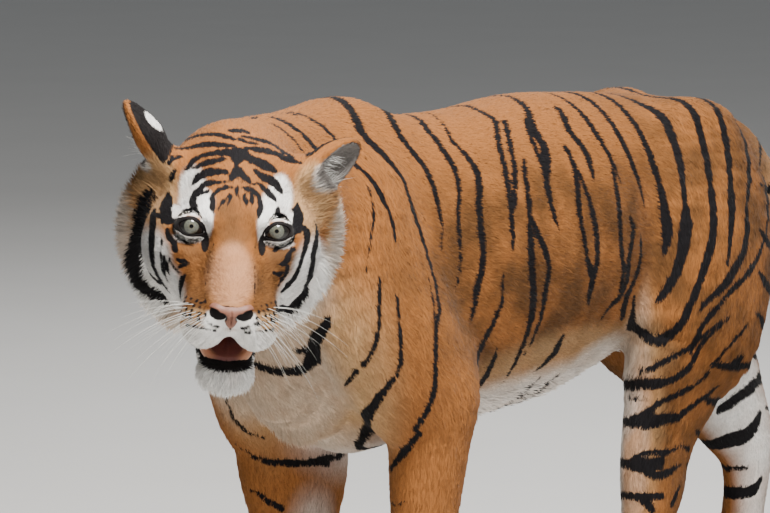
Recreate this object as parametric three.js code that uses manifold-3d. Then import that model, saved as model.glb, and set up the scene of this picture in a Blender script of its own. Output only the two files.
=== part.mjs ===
// A life-size tiger in mid-step, its head low and turned to its left, its mouth a little open.
// Millimetres, +X towards the chest, +Y to the animal's left, +Z up, soles on z = 0.
// The whole coat is one smooth surface, blended from tubes and balls. It is meshed region by region
// and parted by thin flat cuts into the parts that a person would name.
import * as THREE from "three";
import { mergeVertices } from "three/addons/utils/BufferGeometryUtils.js";
import Module from "manifold-3d";

const wasm = await Module();
wasm.setup();

// ---------- driving dimensions ----------
const GAP = 0.4; // width of the cuts between neighbouring parts
const EYE_RADIUS = 20;
const EYE_SPACING = 112; // between the centres of the two eyeballs
const EYE_FORWARD = 22; // of the head's origin
const EYE_RISE = 5; // above the head's origin
const FAR = 3000; // beyond the whole animal
const SLAB = 400; // thickness of the slabs that part the legs from the trunk
const TIP = 0.8; // length of the tail's rounded end over its half-width there
const SETTLING = 3; // how often a vertex is moved towards the surface
const WELD = 1e-3; // vertices nearer than this are one
const BALL_SIDES = 12;
const TAIL_SIDES = 10;
// The regions that are meshed apart: the spacing of the mesh along x, y and z, and the box it fills.
const REGIONS = {
  head: { cells: [26, 26, 26], low: [560, 30, 480], high: [1010, 470, 920] },
  neck: { cells: [50, 48, 50], low: [330, -180, 420], high: [840, 380, 950] },
  trunk: { cells: [92, 58, 58], low: [-660, -240, 330], high: [560, 240, 920] },
};
// The same spacing for the lengths of a leg, whose boxes take their heights from its cuts.
const LEG_CELLS = { upper: [52, 48, 62], lower: [32, 31, 56], paw: [25, 24, 27] };

// The head's own frame: x towards the nose, y to its left, z up, from a point between the eyes.
const HEAD = {
  at: [807, 239, 747],
  yaw: 42, // turn to the left, degrees
  pitch: 19, // nose down
  roll: 4, // crown towards the left shoulder
};

// Tubes: [x, y, z, half-width, half-depth] at each station, half-width measured across the animal.
const TRUNK = [
  [452, 0, 596, 70, 96],
  [392, 0, 580, 114, 200],
  [310, 0, 602, 148, 246],
  [200, 0, 604, 164, 231],
  [60, 0, 608, 174, 225],
  [-80, 0, 621, 172, 224],
  [-180, 0, 633, 162, 208],
  [-280, 0, 648, 146, 186],
  [-370, 0, 682, 130, 143],
  [-440, 0, 700, 112, 111],
  [-510, 0, 702, 94, 92],
  [-575, 0, 696, 66, 68],
];
const NECK = [
  [330, 0, 700, 104, 160],
  [450, 30, 706, 108, 158],
  [560, 72, 732, 106, 136],
  [650, 114, 750, 100, 118],
  [720, 160, 752, 92, 106],
];
const TAIL = [
  [-530, 0, 742, 44, 44],
  [-615, 6, 716, 36, 36],
  [-690, 16, 640, 31, 31],
  [-745, 30, 530, 28, 28],
  [-780, 45, 412, 26, 26],
  [-820, 60, 304, 25, 25],
  [-890, 74, 228, 24, 24],
  [-980, 84, 210, 22, 22],
  [-1060, 90, 248, 18, 18],
];
const FORELEG_LEFT = [
  [350, 46, 784, 34, 56],
  [378, 84, 738, 50, 82],
  [402, 104, 666, 60, 108],
  [384, 116, 590, 64, 116],
  [326, 126, 510, 66, 112],
  [278, 130, 450, 62, 100],
  [272, 130, 390, 56, 72],
  [277, 128, 310, 50, 58],
  [282, 125, 230, 43, 47],
  [286, 123, 165, 42, 42],
  [292, 122, 100, 42, 40],
];
const FORELEG_RIGHT = [
  [366, -46, 784, 34, 56],
  [384, -82, 738, 50, 80],
  [398, -98, 666, 60, 100],
  [390, -108, 590, 64, 106],
  [348, -116, 510, 68, 114],
  [308, -124, 450, 68, 120],
  [282, -122, 390, 62, 110],
  [278, -116, 310, 56, 102],
  [290, -108, 230, 48, 72],
  [302, -106, 165, 43, 48],
  [316, -105, 100, 42, 40],
];
const HINDLEG_LEFT = [
  [-385, 78, 760, 60, 112],
  [-385, 100, 680, 76, 152],
  [-375, 112, 600, 82, 166],
  [-355, 118, 494, 78, 152],
  [-325, 118, 442, 66, 116],
  [-312, 116, 404, 58, 102],
  [-298, 114, 367, 52, 86],
  [-286, 112, 333, 47, 76],
  [-276, 110, 290, 43, 68],
  [-272, 109, 247, 41, 62],
  [-260, 108, 195, 36, 46],
  [-248, 107, 140, 34, 36],
  [-240, 106, 95, 37, 38],
];
const HINDLEG_RIGHT = [
  [-390, -78, 760, 60, 112],
  [-415, -96, 680, 76, 152],
  [-465, -104, 600, 82, 166],
  [-540, -105, 510, 76, 158],
  [-620, -100, 430, 64, 132],
  [-685, -94, 360, 55, 106],
  [-722, -88, 305, 47, 84],
  [-750, -84, 262, 42, 68],
  [-762, -80, 225, 38, 56],
  [-760, -78, 180, 34, 44],
  [-750, -76, 135, 34, 38],
  [-740, -75, 95, 37, 38],
];
// Paws: [x, y, heading in degrees, scale].
const PAWS = {
  forepaw_left: [307, 122, 4, 1.05],
  forepaw_right: [331, -105, -4, 1.05],
  hindpaw_left: [-222, 106, 5, 0.95],
  hindpaw_right: [-720, -75, -5, 0.95],
};
// A paw in its own frame, x forward: balls [x, y, z, half-length, half-width, half-height].
// The toes reach a little below the floor, where the soles are cut flat.
const PAW_BALLS = [
  [0, 0, 40, 58, 50, 50],
  [58, 18, 24, 36, 21, 29],
  [58, -18, 24, 36, 21, 29],
  [42, 46, 22, 34, 21, 27],
  [42, -46, 22, 34, 21, 27],
];

// The head, in its own frame: balls [x, y, z, half-length, half-width, half-height].
// A ball with y above 0 has a twin on the other side.
const HEAD_BALLS = [
  [-85, 0, -4, 112, 82, 82], // cranium
  [-150, 0, -22, 92, 84, 88], // nape
  [0, 34, 12, 42, 32, 28], // brow
  [-44, 74, -46, 86, 48, 64], // cheek
  [8, 50, -54, 64, 44, 54], // side of the face
  [-24, 38, -106, 64, 44, 42], // throat and angle of the jaw
  [56, 0, -76, 72, 55, 48], // muzzle
  [98, 30, -90, 46, 35, 37], // whisker pad
  [90, 0, -173, 33, 40, 28], // chin
];
const NOSE_BRIDGE = [
  [-22, 0, 0, 42, 36],
  [36, 0, -18, 36, 31],
  [84, 0, -38, 32, 27],
  [118, 0, -60, 29, 22],
];
const LOWER_JAW = [
  [-80, 0, -110, 62, 42],
  [0, 0, -142, 48, 36],
  [56, 0, -166, 40, 32],
  [90, 0, -172, 32, 25],
];
const RUFF = [
  [-92, 88, 34, 32, 30],
  [-100, 114, -22, 36, 36],
  [-94, 116, -74, 38, 36],
  [-74, 94, -122, 36, 34],
  [-52, 58, -154, 30, 28],
];
const MOUTH = [72, 0, -126, 80, 42, 23]; // the open mouth, a ball as above
const SOCKETS = [48, 57, 5, 25, 23, 16]; // the hollows that the eyes look out of
const NOSE_PAD = [132, 0, -66, 18, 30, 17];
const TONGUE = [58, 0, -145, 56, 28, 10];
// Ears: base, tip and the way the opening faces, in the head's frame.
const EARS = {
  ear_left: { base: [-98, 104, 30], tip: [-144, 165, 62], opens: [0.62, 0.75, -0.05] },
  ear_right: { base: [-98, -100, 46], tip: [-118, -150, 115], opens: [-0.1, -0.97, -0.3] },
};
// An ear is a ball with these half-lengths, hollowed by another that lies forward of it.
const EAR = { width: 35, depth: 22, reach: 54, wall: 7 };
const EAR_HOLLOW = { forward: 16.5, depth: 24.2, rise: 3 };
// How softly the shapes run into each other, as the length over which they blend.
const BLEND = { balls: 28, bridge: 20, jaw: 16, ruff: 30, toes: 9, paw: 22 };
const BODY_BLEND = { leg: 34, tail: 30, neck: 60, head: 40 };
const EDGE = { mouth: 8, socket: 10 }; // how far the rims of the hollows are rounded

// ---------- vectors and blending ----------
const lerp = (a, b, t) => a + (b - a) * t;
const vec = (p) => new THREE.Vector3(p[0], p[1], p[2]);
const radians = (degrees) => (degrees * Math.PI) / 180;

function smoothMin(a, b, k) {
  const h = Math.max(k - Math.abs(a - b), 0) / k;
  return Math.min(a, b) - (h * h * k) / 4;
}

const smoothMax = (a, b, k) => -smoothMin(-a, -b, k);

// Distance to the surface of an ellipsoid with half-axes r, near enough close to it, for an offset q.
function ellipsoid(q, r) {
  const k0 = Math.hypot(q[0] / r[0], q[1] / r[1], q[2] / r[2]);
  const k1 = Math.hypot(q[0] / r[0] ** 2, q[1] / r[1] ** 2, q[2] / r[2] ** 2);
  return k1 < 1e-9 ? -Math.min(...r) : (k0 * (k0 - 1)) / k1;
}

const headMatrix = new THREE.Matrix4()
  .makeTranslation(...HEAD.at)
  .multiply(new THREE.Matrix4().makeRotationZ(radians(HEAD.yaw)))
  .multiply(new THREE.Matrix4().makeRotationY(radians(HEAD.pitch)))
  .multiply(new THREE.Matrix4().makeRotationX(radians(-HEAD.roll)));
const bodyMatrix = new THREE.Matrix4();

function pawMatrix([x, y, heading, scale]) {
  return new THREE.Matrix4()
    .makeTranslation(x, y, 0)
    .multiply(new THREE.Matrix4().makeRotationZ(radians(heading)))
    .multiply(new THREE.Matrix4().makeScale(scale, scale, scale));
}

// ---------- shapes: each returns a function of a point that is negative inside ----------
function ball([x, y, z, rx, ry, rz], matrix = bodyMatrix) {
  const inverse = matrix.clone().invert();
  const size = Math.cbrt(Math.abs(matrix.determinant()));
  const local = new THREE.Vector3();
  return (p) => {
    local.copy(p).applyMatrix4(inverse);
    return size * ellipsoid([local.x - x, local.y - y, local.z - z], [rx, ry, rz]);
  };
}

// A Catmull-Rom curve through the stations, cut into short straight lengths.
function refine(stations, steps = 4) {
  const fine = [];
  const at = (i) => stations[Math.min(Math.max(i, 0), stations.length - 1)];
  for (let i = 0; i < stations.length - 1; i++)
    for (let s = 0; s < steps; s++) {
      const t = s / steps;
      fine.push(
        at(i).map((_, k) => {
          const [a, b, c, d] = [at(i - 1)[k], at(i)[k], at(i + 1)[k], at(i + 2)[k]];
          const squared = (2 * a - 5 * b + 4 * c - d) * t * t;
          const cubed = (3 * b - a - 3 * c + d) * t ** 3;
          return (2 * b + (c - a) * t + squared + cubed) / 2;
        }),
      );
    }
  fine.push(at(stations.length - 1));
  return fine;
}

function tube(stations, matrix = bodyMatrix, mirror = 1) {
  const fine = refine(stations);
  const points = fine.map(([x, y, z]) => new THREE.Vector3(x, y * mirror, z).applyMatrix4(matrix));
  const across = new THREE.Vector3(0, 1, 0).transformDirection(matrix);
  const lengths = points.slice(1).map((end, i) => {
    const axis = end.clone().sub(points[i]);
    const length = axis.length();
    axis.normalize();
    const side = across.clone().addScaledVector(axis, -across.dot(axis)).normalize();
    const up = axis.clone().cross(side);
    return { start: points[i], axis, length, side, up, from: fine[i], to: fine[i + 1] };
  });
  const offset = new THREE.Vector3();
  return (p) => {
    let nearest = FAR;
    for (const { start, axis, length, side, up, from, to } of lengths) {
      offset.copy(p).sub(start);
      const along = offset.dot(axis);
      const t = Math.min(Math.max(along / length, 0), 1);
      const [wide, deep] = [lerp(from[3], to[3], t), lerp(from[4], to[4], t)];
      const q = [along - t * length, offset.dot(side), offset.dot(up)];
      nearest = Math.min(nearest, ellipsoid(q, [Math.min(wide, deep), wide, deep]));
    }
    return nearest;
  };
}

// Blends shapes: [[shape, blend radius], ...].
const union = (shapes) => (p) => shapes.reduce((d, [shape, k]) => smoothMin(d, shape(p), k), FAR);

const twins = (row) => (row[1] > 0 ? [row, [row[0], -row[1], ...row.slice(2)]] : [row]);

const pawShape = (paw) => union(PAW_BALLS.map((row) => [ball(row, pawMatrix(paw)), BLEND.toes]));

const headShape = union([
  ...HEAD_BALLS.flatMap(twins).map((row) => [ball(row, headMatrix), BLEND.balls]),
  [tube(NOSE_BRIDGE, headMatrix), BLEND.bridge],
  [tube(LOWER_JAW, headMatrix), BLEND.jaw],
  [tube(RUFF, headMatrix), BLEND.ruff],
  [tube(RUFF, headMatrix, -1), BLEND.ruff],
]);
const mouth = ball(MOUTH, headMatrix);
const whole = union([
  [tube(TRUNK), 1],
  [tube(NECK), BODY_BLEND.neck],
  [tube(TAIL), BODY_BLEND.tail],
  ...[FORELEG_LEFT, FORELEG_RIGHT, HINDLEG_LEFT, HINDLEG_RIGHT].map((leg) => [tube(leg), BODY_BLEND.leg]),
  ...Object.values(PAWS).map((paw) => [pawShape(paw), BLEND.paw]),
  [headShape, BODY_BLEND.head],
]);
const sockets = union(twins(SOCKETS).map((row) => [ball(row, headMatrix), 1]));
const coat = (p) => smoothMax(smoothMax(whole(p), -mouth(p), EDGE.mouth), -sockets(p), EDGE.socket);

// ---------- meshing ----------
// Meshes the surface where field is 0 inside a box, one vertex for each cell that it crosses.
function surface(field, { low, high, cells }) {
  const box = new THREE.Box3(vec(low), vec(high));
  const middle = box.getCenter(new THREE.Vector3());
  const half = box.getSize(new THREE.Vector3()).multiplyScalar(0.5);
  const capped = (p) =>
    Math.max(
      field(p),
      Math.abs(p.x - middle.x) - half.x,
      Math.abs(p.y - middle.y) - half.y,
      Math.abs(p.z - middle.z) - half.z,
    );
  const cell = vec(cells);
  const counts = [half.x / cell.x, half.y / cell.y, half.z / cell.z].map((n) => Math.ceil(2 * n) + 4);
  const [nx, ny, nz] = counts;
  const origin = box.min.clone().addScaledVector(cell, -1.5);
  const index = (i, j, k) => i + nx * (j + ny * k);
  const point = (i, j, k) => new THREE.Vector3(i, j, k).multiply(cell).add(origin);
  const values = new Float64Array(nx * ny * nz);
  for (let k = 0; k < nz; k++)
    for (let j = 0; j < ny; j++)
      for (let i = 0; i < nx; i++) values[index(i, j, k)] = capped(point(i, j, k));
  fillCorners(values, [1, nx, nx * ny]);

  const vertices = [];
  const vertexOf = new Int32Array(values.length).fill(-1);
  const corners = [0, 1, 2, 3, 4, 5, 6, 7].map((n) => [n & 1, (n >> 1) & 1, n >> 2]);
  for (let k = 0; k < nz - 1; k++)
    for (let j = 0; j < ny - 1; j++)
      for (let i = 0; i < nx - 1; i++) {
        const sum = new THREE.Vector3();
        let crossings = 0;
        corners.forEach((a, n) => {
          for (let axis = 0; axis < 3; axis++) {
            if (a[axis]) continue;
            const b = corners[n | (1 << axis)];
            const va = values[index(i + a[0], j + a[1], k + a[2])];
            const vb = values[index(i + b[0], j + b[1], k + b[2])];
            if (va < 0 === vb < 0) continue;
            const from = point(i + a[0], j + a[1], k + a[2]);
            sum.add(from.lerp(point(i + b[0], j + b[1], k + b[2]), va / (va - vb)));
            crossings++;
          }
        });
        if (!crossings) continue;
        vertexOf[index(i, j, k)] = vertices.length;
        vertices.push(settle(sum.divideScalar(crossings), capped, Math.min(...cells) / 2));
      }

  const triangles = [];
  const steps = [
    [1, 0, 0],
    [0, 1, 0],
    [0, 0, 1],
  ];
  for (let k = 1; k < nz - 1; k++)
    for (let j = 1; j < ny - 1; j++)
      for (let i = 1; i < nx - 1; i++)
        steps.forEach(([a, b, c], axis) => {
          const inside = values[index(i, j, k)] < 0;
          if (inside === values[index(i + a, j + b, k + c)] < 0) return;
          const [d1, d2] = [steps[(axis + 1) % 3], steps[(axis + 2) % 3]];
          const quad = [
            vertexOf[index(i, j, k)],
            vertexOf[index(i - d1[0], j - d1[1], k - d1[2])],
            vertexOf[index(i - d1[0] - d2[0], j - d1[1] - d2[1], k - d1[2] - d2[2])],
            vertexOf[index(i - d2[0], j - d2[1], k - d2[2])],
          ];
          if (!inside) quad.reverse();
          triangles.push(...splitQuad(quad, vertices));
        });
  return solid(
    vertices.flatMap((v) => v.toArray()),
    triangles,
  );
}

// Fills a corner wherever a face of the grid would be solid at two opposite corners only,
// so that no edge of the mesh joins more than two triangles.
function fillCorners(values, strides) {
  let filled = true;
  while (filled) {
    filled = false;
    for (const [one, two] of [
      [strides[0], strides[1]],
      [strides[1], strides[2]],
      [strides[0], strides[2]],
    ])
      for (let i = 0; i + one + two < values.length; i++) {
        const ring = [i, i + one, i + one + two, i + two];
        const [a, b, c, d] = ring.map((n) => values[n] < 0);
        if (a !== c || b !== d || a === b) continue;
        const [p, q] = a ? [ring[1], ring[3]] : [ring[0], ring[2]];
        values[values[p] < values[q] ? p : q] = -0.01;
        filled = true;
      }
  }
}

// Moves a point onto the surface along the field's slope, by no more than the reach.
function settle(p, field, reach) {
  const start = p.clone();
  const step = 0.5;
  for (let n = 0; n < SETTLING; n++) {
    const value = field(p);
    const slope = new THREE.Vector3(
      field(p.clone().add(new THREE.Vector3(step, 0, 0))) - value,
      field(p.clone().add(new THREE.Vector3(0, step, 0))) - value,
      field(p.clone().add(new THREE.Vector3(0, 0, step))) - value,
    ).divideScalar(step);
    p.addScaledVector(slope, -value / Math.max(slope.lengthSq(), 0.2));
  }
  return p.sub(start).clampLength(0, reach).add(start);
}

// Two triangles, split along the shorter diagonal.
function splitQuad([a, b, c, d], vertices) {
  return vertices[a].distanceTo(vertices[c]) < vertices[b].distanceTo(vertices[d])
    ? [a, b, c, a, c, d]
    : [b, c, d, b, d, a];
}

// ---------- solids ----------
function solid(positions, triangles) {
  return new wasm.Manifold(
    new wasm.Mesh({
      numProp: 3,
      vertProperties: new Float32Array(positions),
      triVerts: new Uint32Array(triangles),
    }),
  );
}

function solidOf(geometry, matrix = bodyMatrix) {
  const bare = geometry.clone().applyMatrix4(matrix);
  bare.deleteAttribute("normal");
  bare.deleteAttribute("uv");
  const merged = mergeVertices(bare, WELD);
  return solid(merged.attributes.position.array, merged.index.array);
}

function boxBetween([x0, y0, z0], [x1, y1, z1]) {
  const box = new THREE.BoxGeometry(x1 - x0, y1 - y0, z1 - z0);
  return solidOf(box.translate((x0 + x1) / 2, (y0 + y1) / 2, (z0 + z1) / 2));
}

// Everything on the far side of a plane through a point, in front of it along the normal.
function beyond(at, normal) {
  const box = new THREE.BoxGeometry(FAR, FAR, FAR).translate(0, 0, FAR / 2);
  const turn = new THREE.Quaternion().setFromUnitVectors(vec([0, 0, 1]), vec(normal).normalize());
  return solidOf(box, new THREE.Matrix4().compose(vec(at), turn, vec([1, 1, 1])));
}

// A slab with a side-view outline [[x, z], ...], from a slanted inner face outwards.
// The inner face is at y = inner at height, and leans outwards by lean for each millimetre above it.
function legTool({ outline, inner, height, lean, side }, grow) {
  const centre = [0, 1].map((k) => outline.reduce((sum, p) => sum + p[k], 0) / outline.length);
  const spread = outline.map(([x, z]) => {
    const [dx, dz] = [x - centre[0], z - centre[1]];
    const scale = 1 + grow / Math.hypot(dx, dz);
    return new THREE.Vector2(centre[0] + dx * scale, centre[1] + dz * scale);
  });
  const slab = new THREE.ExtrudeGeometry(new THREE.Shape(spread), { depth: SLAB, bevelEnabled: false });
  // The outline now stands in x and z, and the slab runs from y = 0 outwards.
  slab.rotateX(Math.PI / 2).translate(0, SLAB, 0);
  const face = inner - grow - lean * height;
  slab.applyMatrix4(new THREE.Matrix4().set(1, 0, 0, 0, 0, 1, lean, face, 0, 0, 1, 0, 0, 0, 0, 1));
  if (side < 0) {
    slab.scale(1, -1, 1);
    turnRound(slab);
  }
  return solidOf(slab);
}

// Turns every triangle of a geometry without an index round, after it has been mirrored.
function turnRound(geometry) {
  const { array } = geometry.attributes.position;
  for (let i = 0; i < array.length; i += 9)
    for (let k = 0; k < 3; k++) [array[i + k], array[i + 3 + k]] = [array[i + 3 + k], array[i + k]];
}

const ballSolid = ([x, y, z, rx, ry, rz], matrix, grow = 0) =>
  solidOf(
    new THREE.SphereGeometry(1, BALL_SIDES, Math.round(BALL_SIDES / 1.5))
      .scale(rx + grow, ry + grow, rz + grow)
      .translate(x, y, z),
    matrix,
  );

// An ear, a ball hollowed from the side it opens to, and the room that the head leaves for it.
function earSolids({ base, tip, opens }) {
  const foot = vec(base).applyMatrix4(headMatrix);
  const up = vec(tip).applyMatrix4(headMatrix).sub(foot);
  const length = up.length();
  up.normalize();
  const front = vec(opens).transformDirection(headMatrix);
  front.addScaledVector(up, -front.dot(up)).normalize();
  const frame = new THREE.Matrix4().makeBasis(front, up.clone().cross(front), up).setPosition(foot);
  const centre = length - EAR.reach;
  const outer = [0, 0, centre, EAR.depth, EAR.width, EAR.reach];
  const inside = [EAR_HOLLOW.depth, EAR.width - EAR.wall, EAR.reach - EAR.wall];
  const hollow = ballSolid([EAR_HOLLOW.forward, 0, centre + EAR_HOLLOW.rise, ...inside], frame);
  return { shape: ballSolid(outer, frame).subtract(hollow), room: ballSolid(outer, frame, GAP) };
}

// A tube through rings of the given number of sides, one ring at each station.
function loft(stations, sides) {
  const points = stations.map(vec);
  const ringAt = (i) => {
    const next = points[Math.min(i + 1, points.length - 1)];
    const axis = next.clone().sub(points[Math.max(i - 1, 0)]).normalize();
    const side = new THREE.Vector3(0, 1, 0).addScaledVector(axis, -axis.y).normalize();
    const up = axis.clone().cross(side);
    return Array.from({ length: sides }, (_, n) => {
      const turn = (2 * Math.PI * n) / sides;
      const out = points[i].clone().addScaledVector(side, stations[i][3] * Math.cos(turn));
      return out.addScaledVector(up, stations[i][4] * Math.sin(turn)).toArray();
    });
  };
  const last = points.length - 1;
  const onwards = points[last].clone().sub(points[last - 1]).setLength(stations[last][3] * TIP);
  const tip = onwards.add(points[last]);
  const positions = [...points.flatMap((_, i) => ringAt(i)), points[0].toArray(), tip.toArray()];
  const [head, end] = [positions.length - 2, positions.length - 1];
  const triangles = [];
  for (let n = 0; n < sides; n++) {
    const next = (n + 1) % sides;
    triangles.push(head, next, n, end, last * sides + n, last * sides + next);
    for (let i = 0; i < last; i++) {
      const [a, b, c, d] = [i * sides + n, i * sides + next, (i + 1) * sides + next, (i + 1) * sides + n];
      triangles.push(a, b, c, a, c, d);
    }
  }
  return solid(positions.flat(), triangles);
}

// ---------- the cuts ----------
const headPoint = (x, y, z) => new THREE.Vector3(x, y, z).applyMatrix4(headMatrix).toArray();
const headWay = (x, y, z) => new THREE.Vector3(x, y, z).transformDirection(headMatrix).toArray();
const shift = (at, way, by) => at.map((v, i) => v + (way[i] * by) / Math.hypot(...way));
// What lies ahead of a cut, half a gap beyond it, and what is taken from the part behind it.
const ahead = ({ at, way }) => beyond(shift(at, way, GAP / 2), way);
const behind = ({ at, way }) => beyond(shift(at, way, -GAP / 2), way);

const nape = { at: headPoint(-160, 0, 0), way: headWay(1, 0, 0.1) };
const neckBase = { at: [440, 30, 720], way: [0.92, 0.36, 0.16] };
const tailBase = { at: [-650, 8, 700], way: [-0.95, 0.05, -0.3] };
const TAIL_BEND = 540; // height of the tail's first cut
const TAIL_RISE = -880; // place along x of its second
const jawLine = { at: headPoint(60, 0, -132), way: headWay(0.22, 0, -1) };

const FORELEG_OUTLINE = [
  [120, -50],
  [150, 420],
  [170, 540],
  [250, 700],
  [400, 760],
  [500, 640],
  [500, 460],
  [440, -50],
];
const THIGH_OUTLINE = [
  [-80, -50],
  [-130, 500],
  [-190, 620],
  [-270, 740],
  [-430, 790],
  [-560, 740],
];
const LEFT_REAR = [
  [-620, 560],
  [-620, -50],
];
const RIGHT_REAR = [
  [-760, 560],
  [-900, 440],
  [-900, -50],
];
const FORE = { inner: 40, height: 380, lean: 0.3, along: [100, 540], knee: 430, ankle: 118 };
const HIND = { inner: 26, height: 440, lean: 0.26, along: [-900, -60], ankle: 108 };
const LEGS = {
  foreleg_left: { ...FORE, side: 1, outline: FORELEG_OUTLINE },
  foreleg_right: { ...FORE, side: -1, outline: FORELEG_OUTLINE },
  hindleg_left: { ...HIND, side: 1, outline: [...THIGH_OUTLINE, ...LEFT_REAR], knee: 360 },
  hindleg_right: { ...HIND, side: -1, outline: [...THIGH_OUTLINE, ...RIGHT_REAR], knee: 330 },
};
const LEG_REACH = 240; // how far out from the midline a leg's region goes
const LEG_TOP = 800;
const LAP = 30; // how far the regions of a leg run past its cuts
const legTools = (grow) =>
  Object.fromEntries(Object.entries(LEGS).map(([name, leg]) => [name, legTool(leg, grow)]));

// ---------- colours ----------
const COLOURS = {
  orange: 0xb8702e,
  pale: 0xd9c6a2,
  black: 0x1d1917,
  iris: 0x8a8c68,
  pink: 0xb07260,
  tongue: 0xb05a50,
};
const material = (colour, roughness = 0.85) =>
  new THREE.MeshStandardMaterial({ color: COLOURS[colour], roughness, metalness: 0 });

const tiger = new THREE.Group();

function add(name, shape, finish) {
  const mesh = shape.getMesh();
  const geometry = new THREE.BufferGeometry();
  geometry.setAttribute("position", new THREE.BufferAttribute(new Float32Array(mesh.vertProperties), 3));
  geometry.setIndex(new THREE.BufferAttribute(new Uint32Array(mesh.triVerts), 1));
  geometry.computeVertexNormals();
  const node = new THREE.Mesh(geometry, finish);
  node.name = name;
  tiger.add(node);
}

// The largest piece, where a cut leaves slivers beside it.
const largest = (shape) => shape.decompose().reduce((a, b) => (a.volume() > b.volume() ? a : b));

// ---------- the parts ----------
const fur = material("orange");
const wide = legTools(GAP / 2);
const narrow = legTools(-GAP / 2);

// Head, with its jaw, nose, tongue, eyes and ears.
const eyes = {
  eye_left: [EYE_FORWARD, EYE_SPACING / 2, EYE_RISE, EYE_RADIUS, EYE_RADIUS, EYE_RADIUS],
  eye_right: [EYE_FORWARD, -EYE_SPACING / 2, EYE_RISE, EYE_RADIUS, EYE_RADIUS, EYE_RADIUS],
};
let skull = surface(coat, REGIONS.head).intersect(ahead(nape));
for (const [name, eye] of Object.entries(eyes)) {
  skull = skull.subtract(ballSolid(eye, headMatrix, GAP));
  add(name, ballSolid(eye, headMatrix), material("iris", 0.2));
}
skull = skull.subtract(ballSolid(NOSE_PAD, headMatrix, GAP)).subtract(ballSolid(TONGUE, headMatrix, GAP));
for (const [name, ear] of Object.entries(EARS)) {
  const { shape, room } = earSolids(ear);
  add(name, shape, fur);
  skull = skull.subtract(room);
}
add("nose", ballSolid(NOSE_PAD, headMatrix), material("pink", 0.5));
add("tongue", ballSolid(TONGUE, headMatrix), material("tongue", 0.4));
add("jaw", largest(skull.intersect(ahead(jawLine))), material("pale"));
add("head", largest(skull.subtract(behind(jawLine))), fur);

// Neck and trunk.
const withoutLegs = (shape) => largest(Object.values(wide).reduce((rest, leg) => rest.subtract(leg), shape));
const neck = surface(coat, REGIONS.neck).intersect(ahead(neckBase)).subtract(behind(nape));
add("neck", withoutLegs(neck), fur);
const trunk = surface(coat, REGIONS.trunk).subtract(behind(neckBase)).subtract(behind(tailBase));
add("trunk", withoutLegs(trunk), fur);

// Legs, each in an upper length, a lower length and a paw.
for (const [name, { side, along, knee, ankle }] of Object.entries(LEGS)) {
  const [right, left] = side < 0 ? [-LEG_REACH, 0] : [0, LEG_REACH];
  const corners = (bottom, top) => ({ low: [along[0], right, bottom], high: [along[1], left, top] });
  const region = (bottom, top, cells) => ({ ...corners(bottom, top), cells });
  const level = (bottom, top) => boxBetween([along[0], -SLAB, bottom], [along[1], SLAB, top]);
  const upper = surface(coat, region(knee - LAP, LEG_TOP, LEG_CELLS.upper))
    .intersect(narrow[name])
    .intersect(level(knee + GAP / 2, LEG_TOP + LAP));
  const lower = surface(coat, region(ankle - LAP, knee + LAP, LEG_CELLS.lower))
    .intersect(narrow[name])
    .intersect(level(ankle + GAP / 2, knee - GAP / 2));
  const paw = surface(coat, region(-LAP, ankle + LAP, LEG_CELLS.paw)).intersect(level(0, ankle - GAP / 2));
  const [limb, which] = name.split("_");
  add(`${limb}_upper_${which}`, largest(upper), fur);
  add(`${limb}_lower_${which}`, largest(lower), fur);
  add(`${limb.replace("leg", "paw")}_${which}`, largest(paw), fur);
}

// Tail, in three lengths.
const tail = loft(refine(TAIL, 2), TAIL_SIDES).intersect(ahead(tailBase));
const bend = beyond([0, 0, TAIL_BEND], [0, 0, -1]);
const rise = beyond([TAIL_RISE, 0, 0], [-1, 0, 0]);
add("tail_base", tail.intersect(beyond([0, 0, TAIL_BEND + GAP], [0, 0, 1])), fur);
add("tail_middle", tail.intersect(bend).intersect(beyond([TAIL_RISE + GAP, 0, 0], [1, 0, 0])), fur);
add("tail_tip", tail.intersect(rise), fur);

// The origin is on the floor, under the middle of the whole model.
const bounds = new THREE.Box3().setFromObject(tiger);
const centre = bounds.getCenter(new THREE.Vector3());
tiger.position.set(-centre.x, -centre.y, -bounds.min.z);

export default tiger;
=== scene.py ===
"""A life-size tiger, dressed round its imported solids: skin, coat of short locks, eyes, nose, whiskers, claws.

The skin is the coat's outer form from the solids, sunk by the depth of the fur, with more detail. Metres and
degrees, +X towards the chest, +Y to the animal's left, +Z up. "Head" places are in the head's own frame:
x towards the nose, y to its left, z up, from a point between the eyes.
"""
import math

import bpy
import numpy as np
from mathutils import Matrix, Vector


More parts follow.
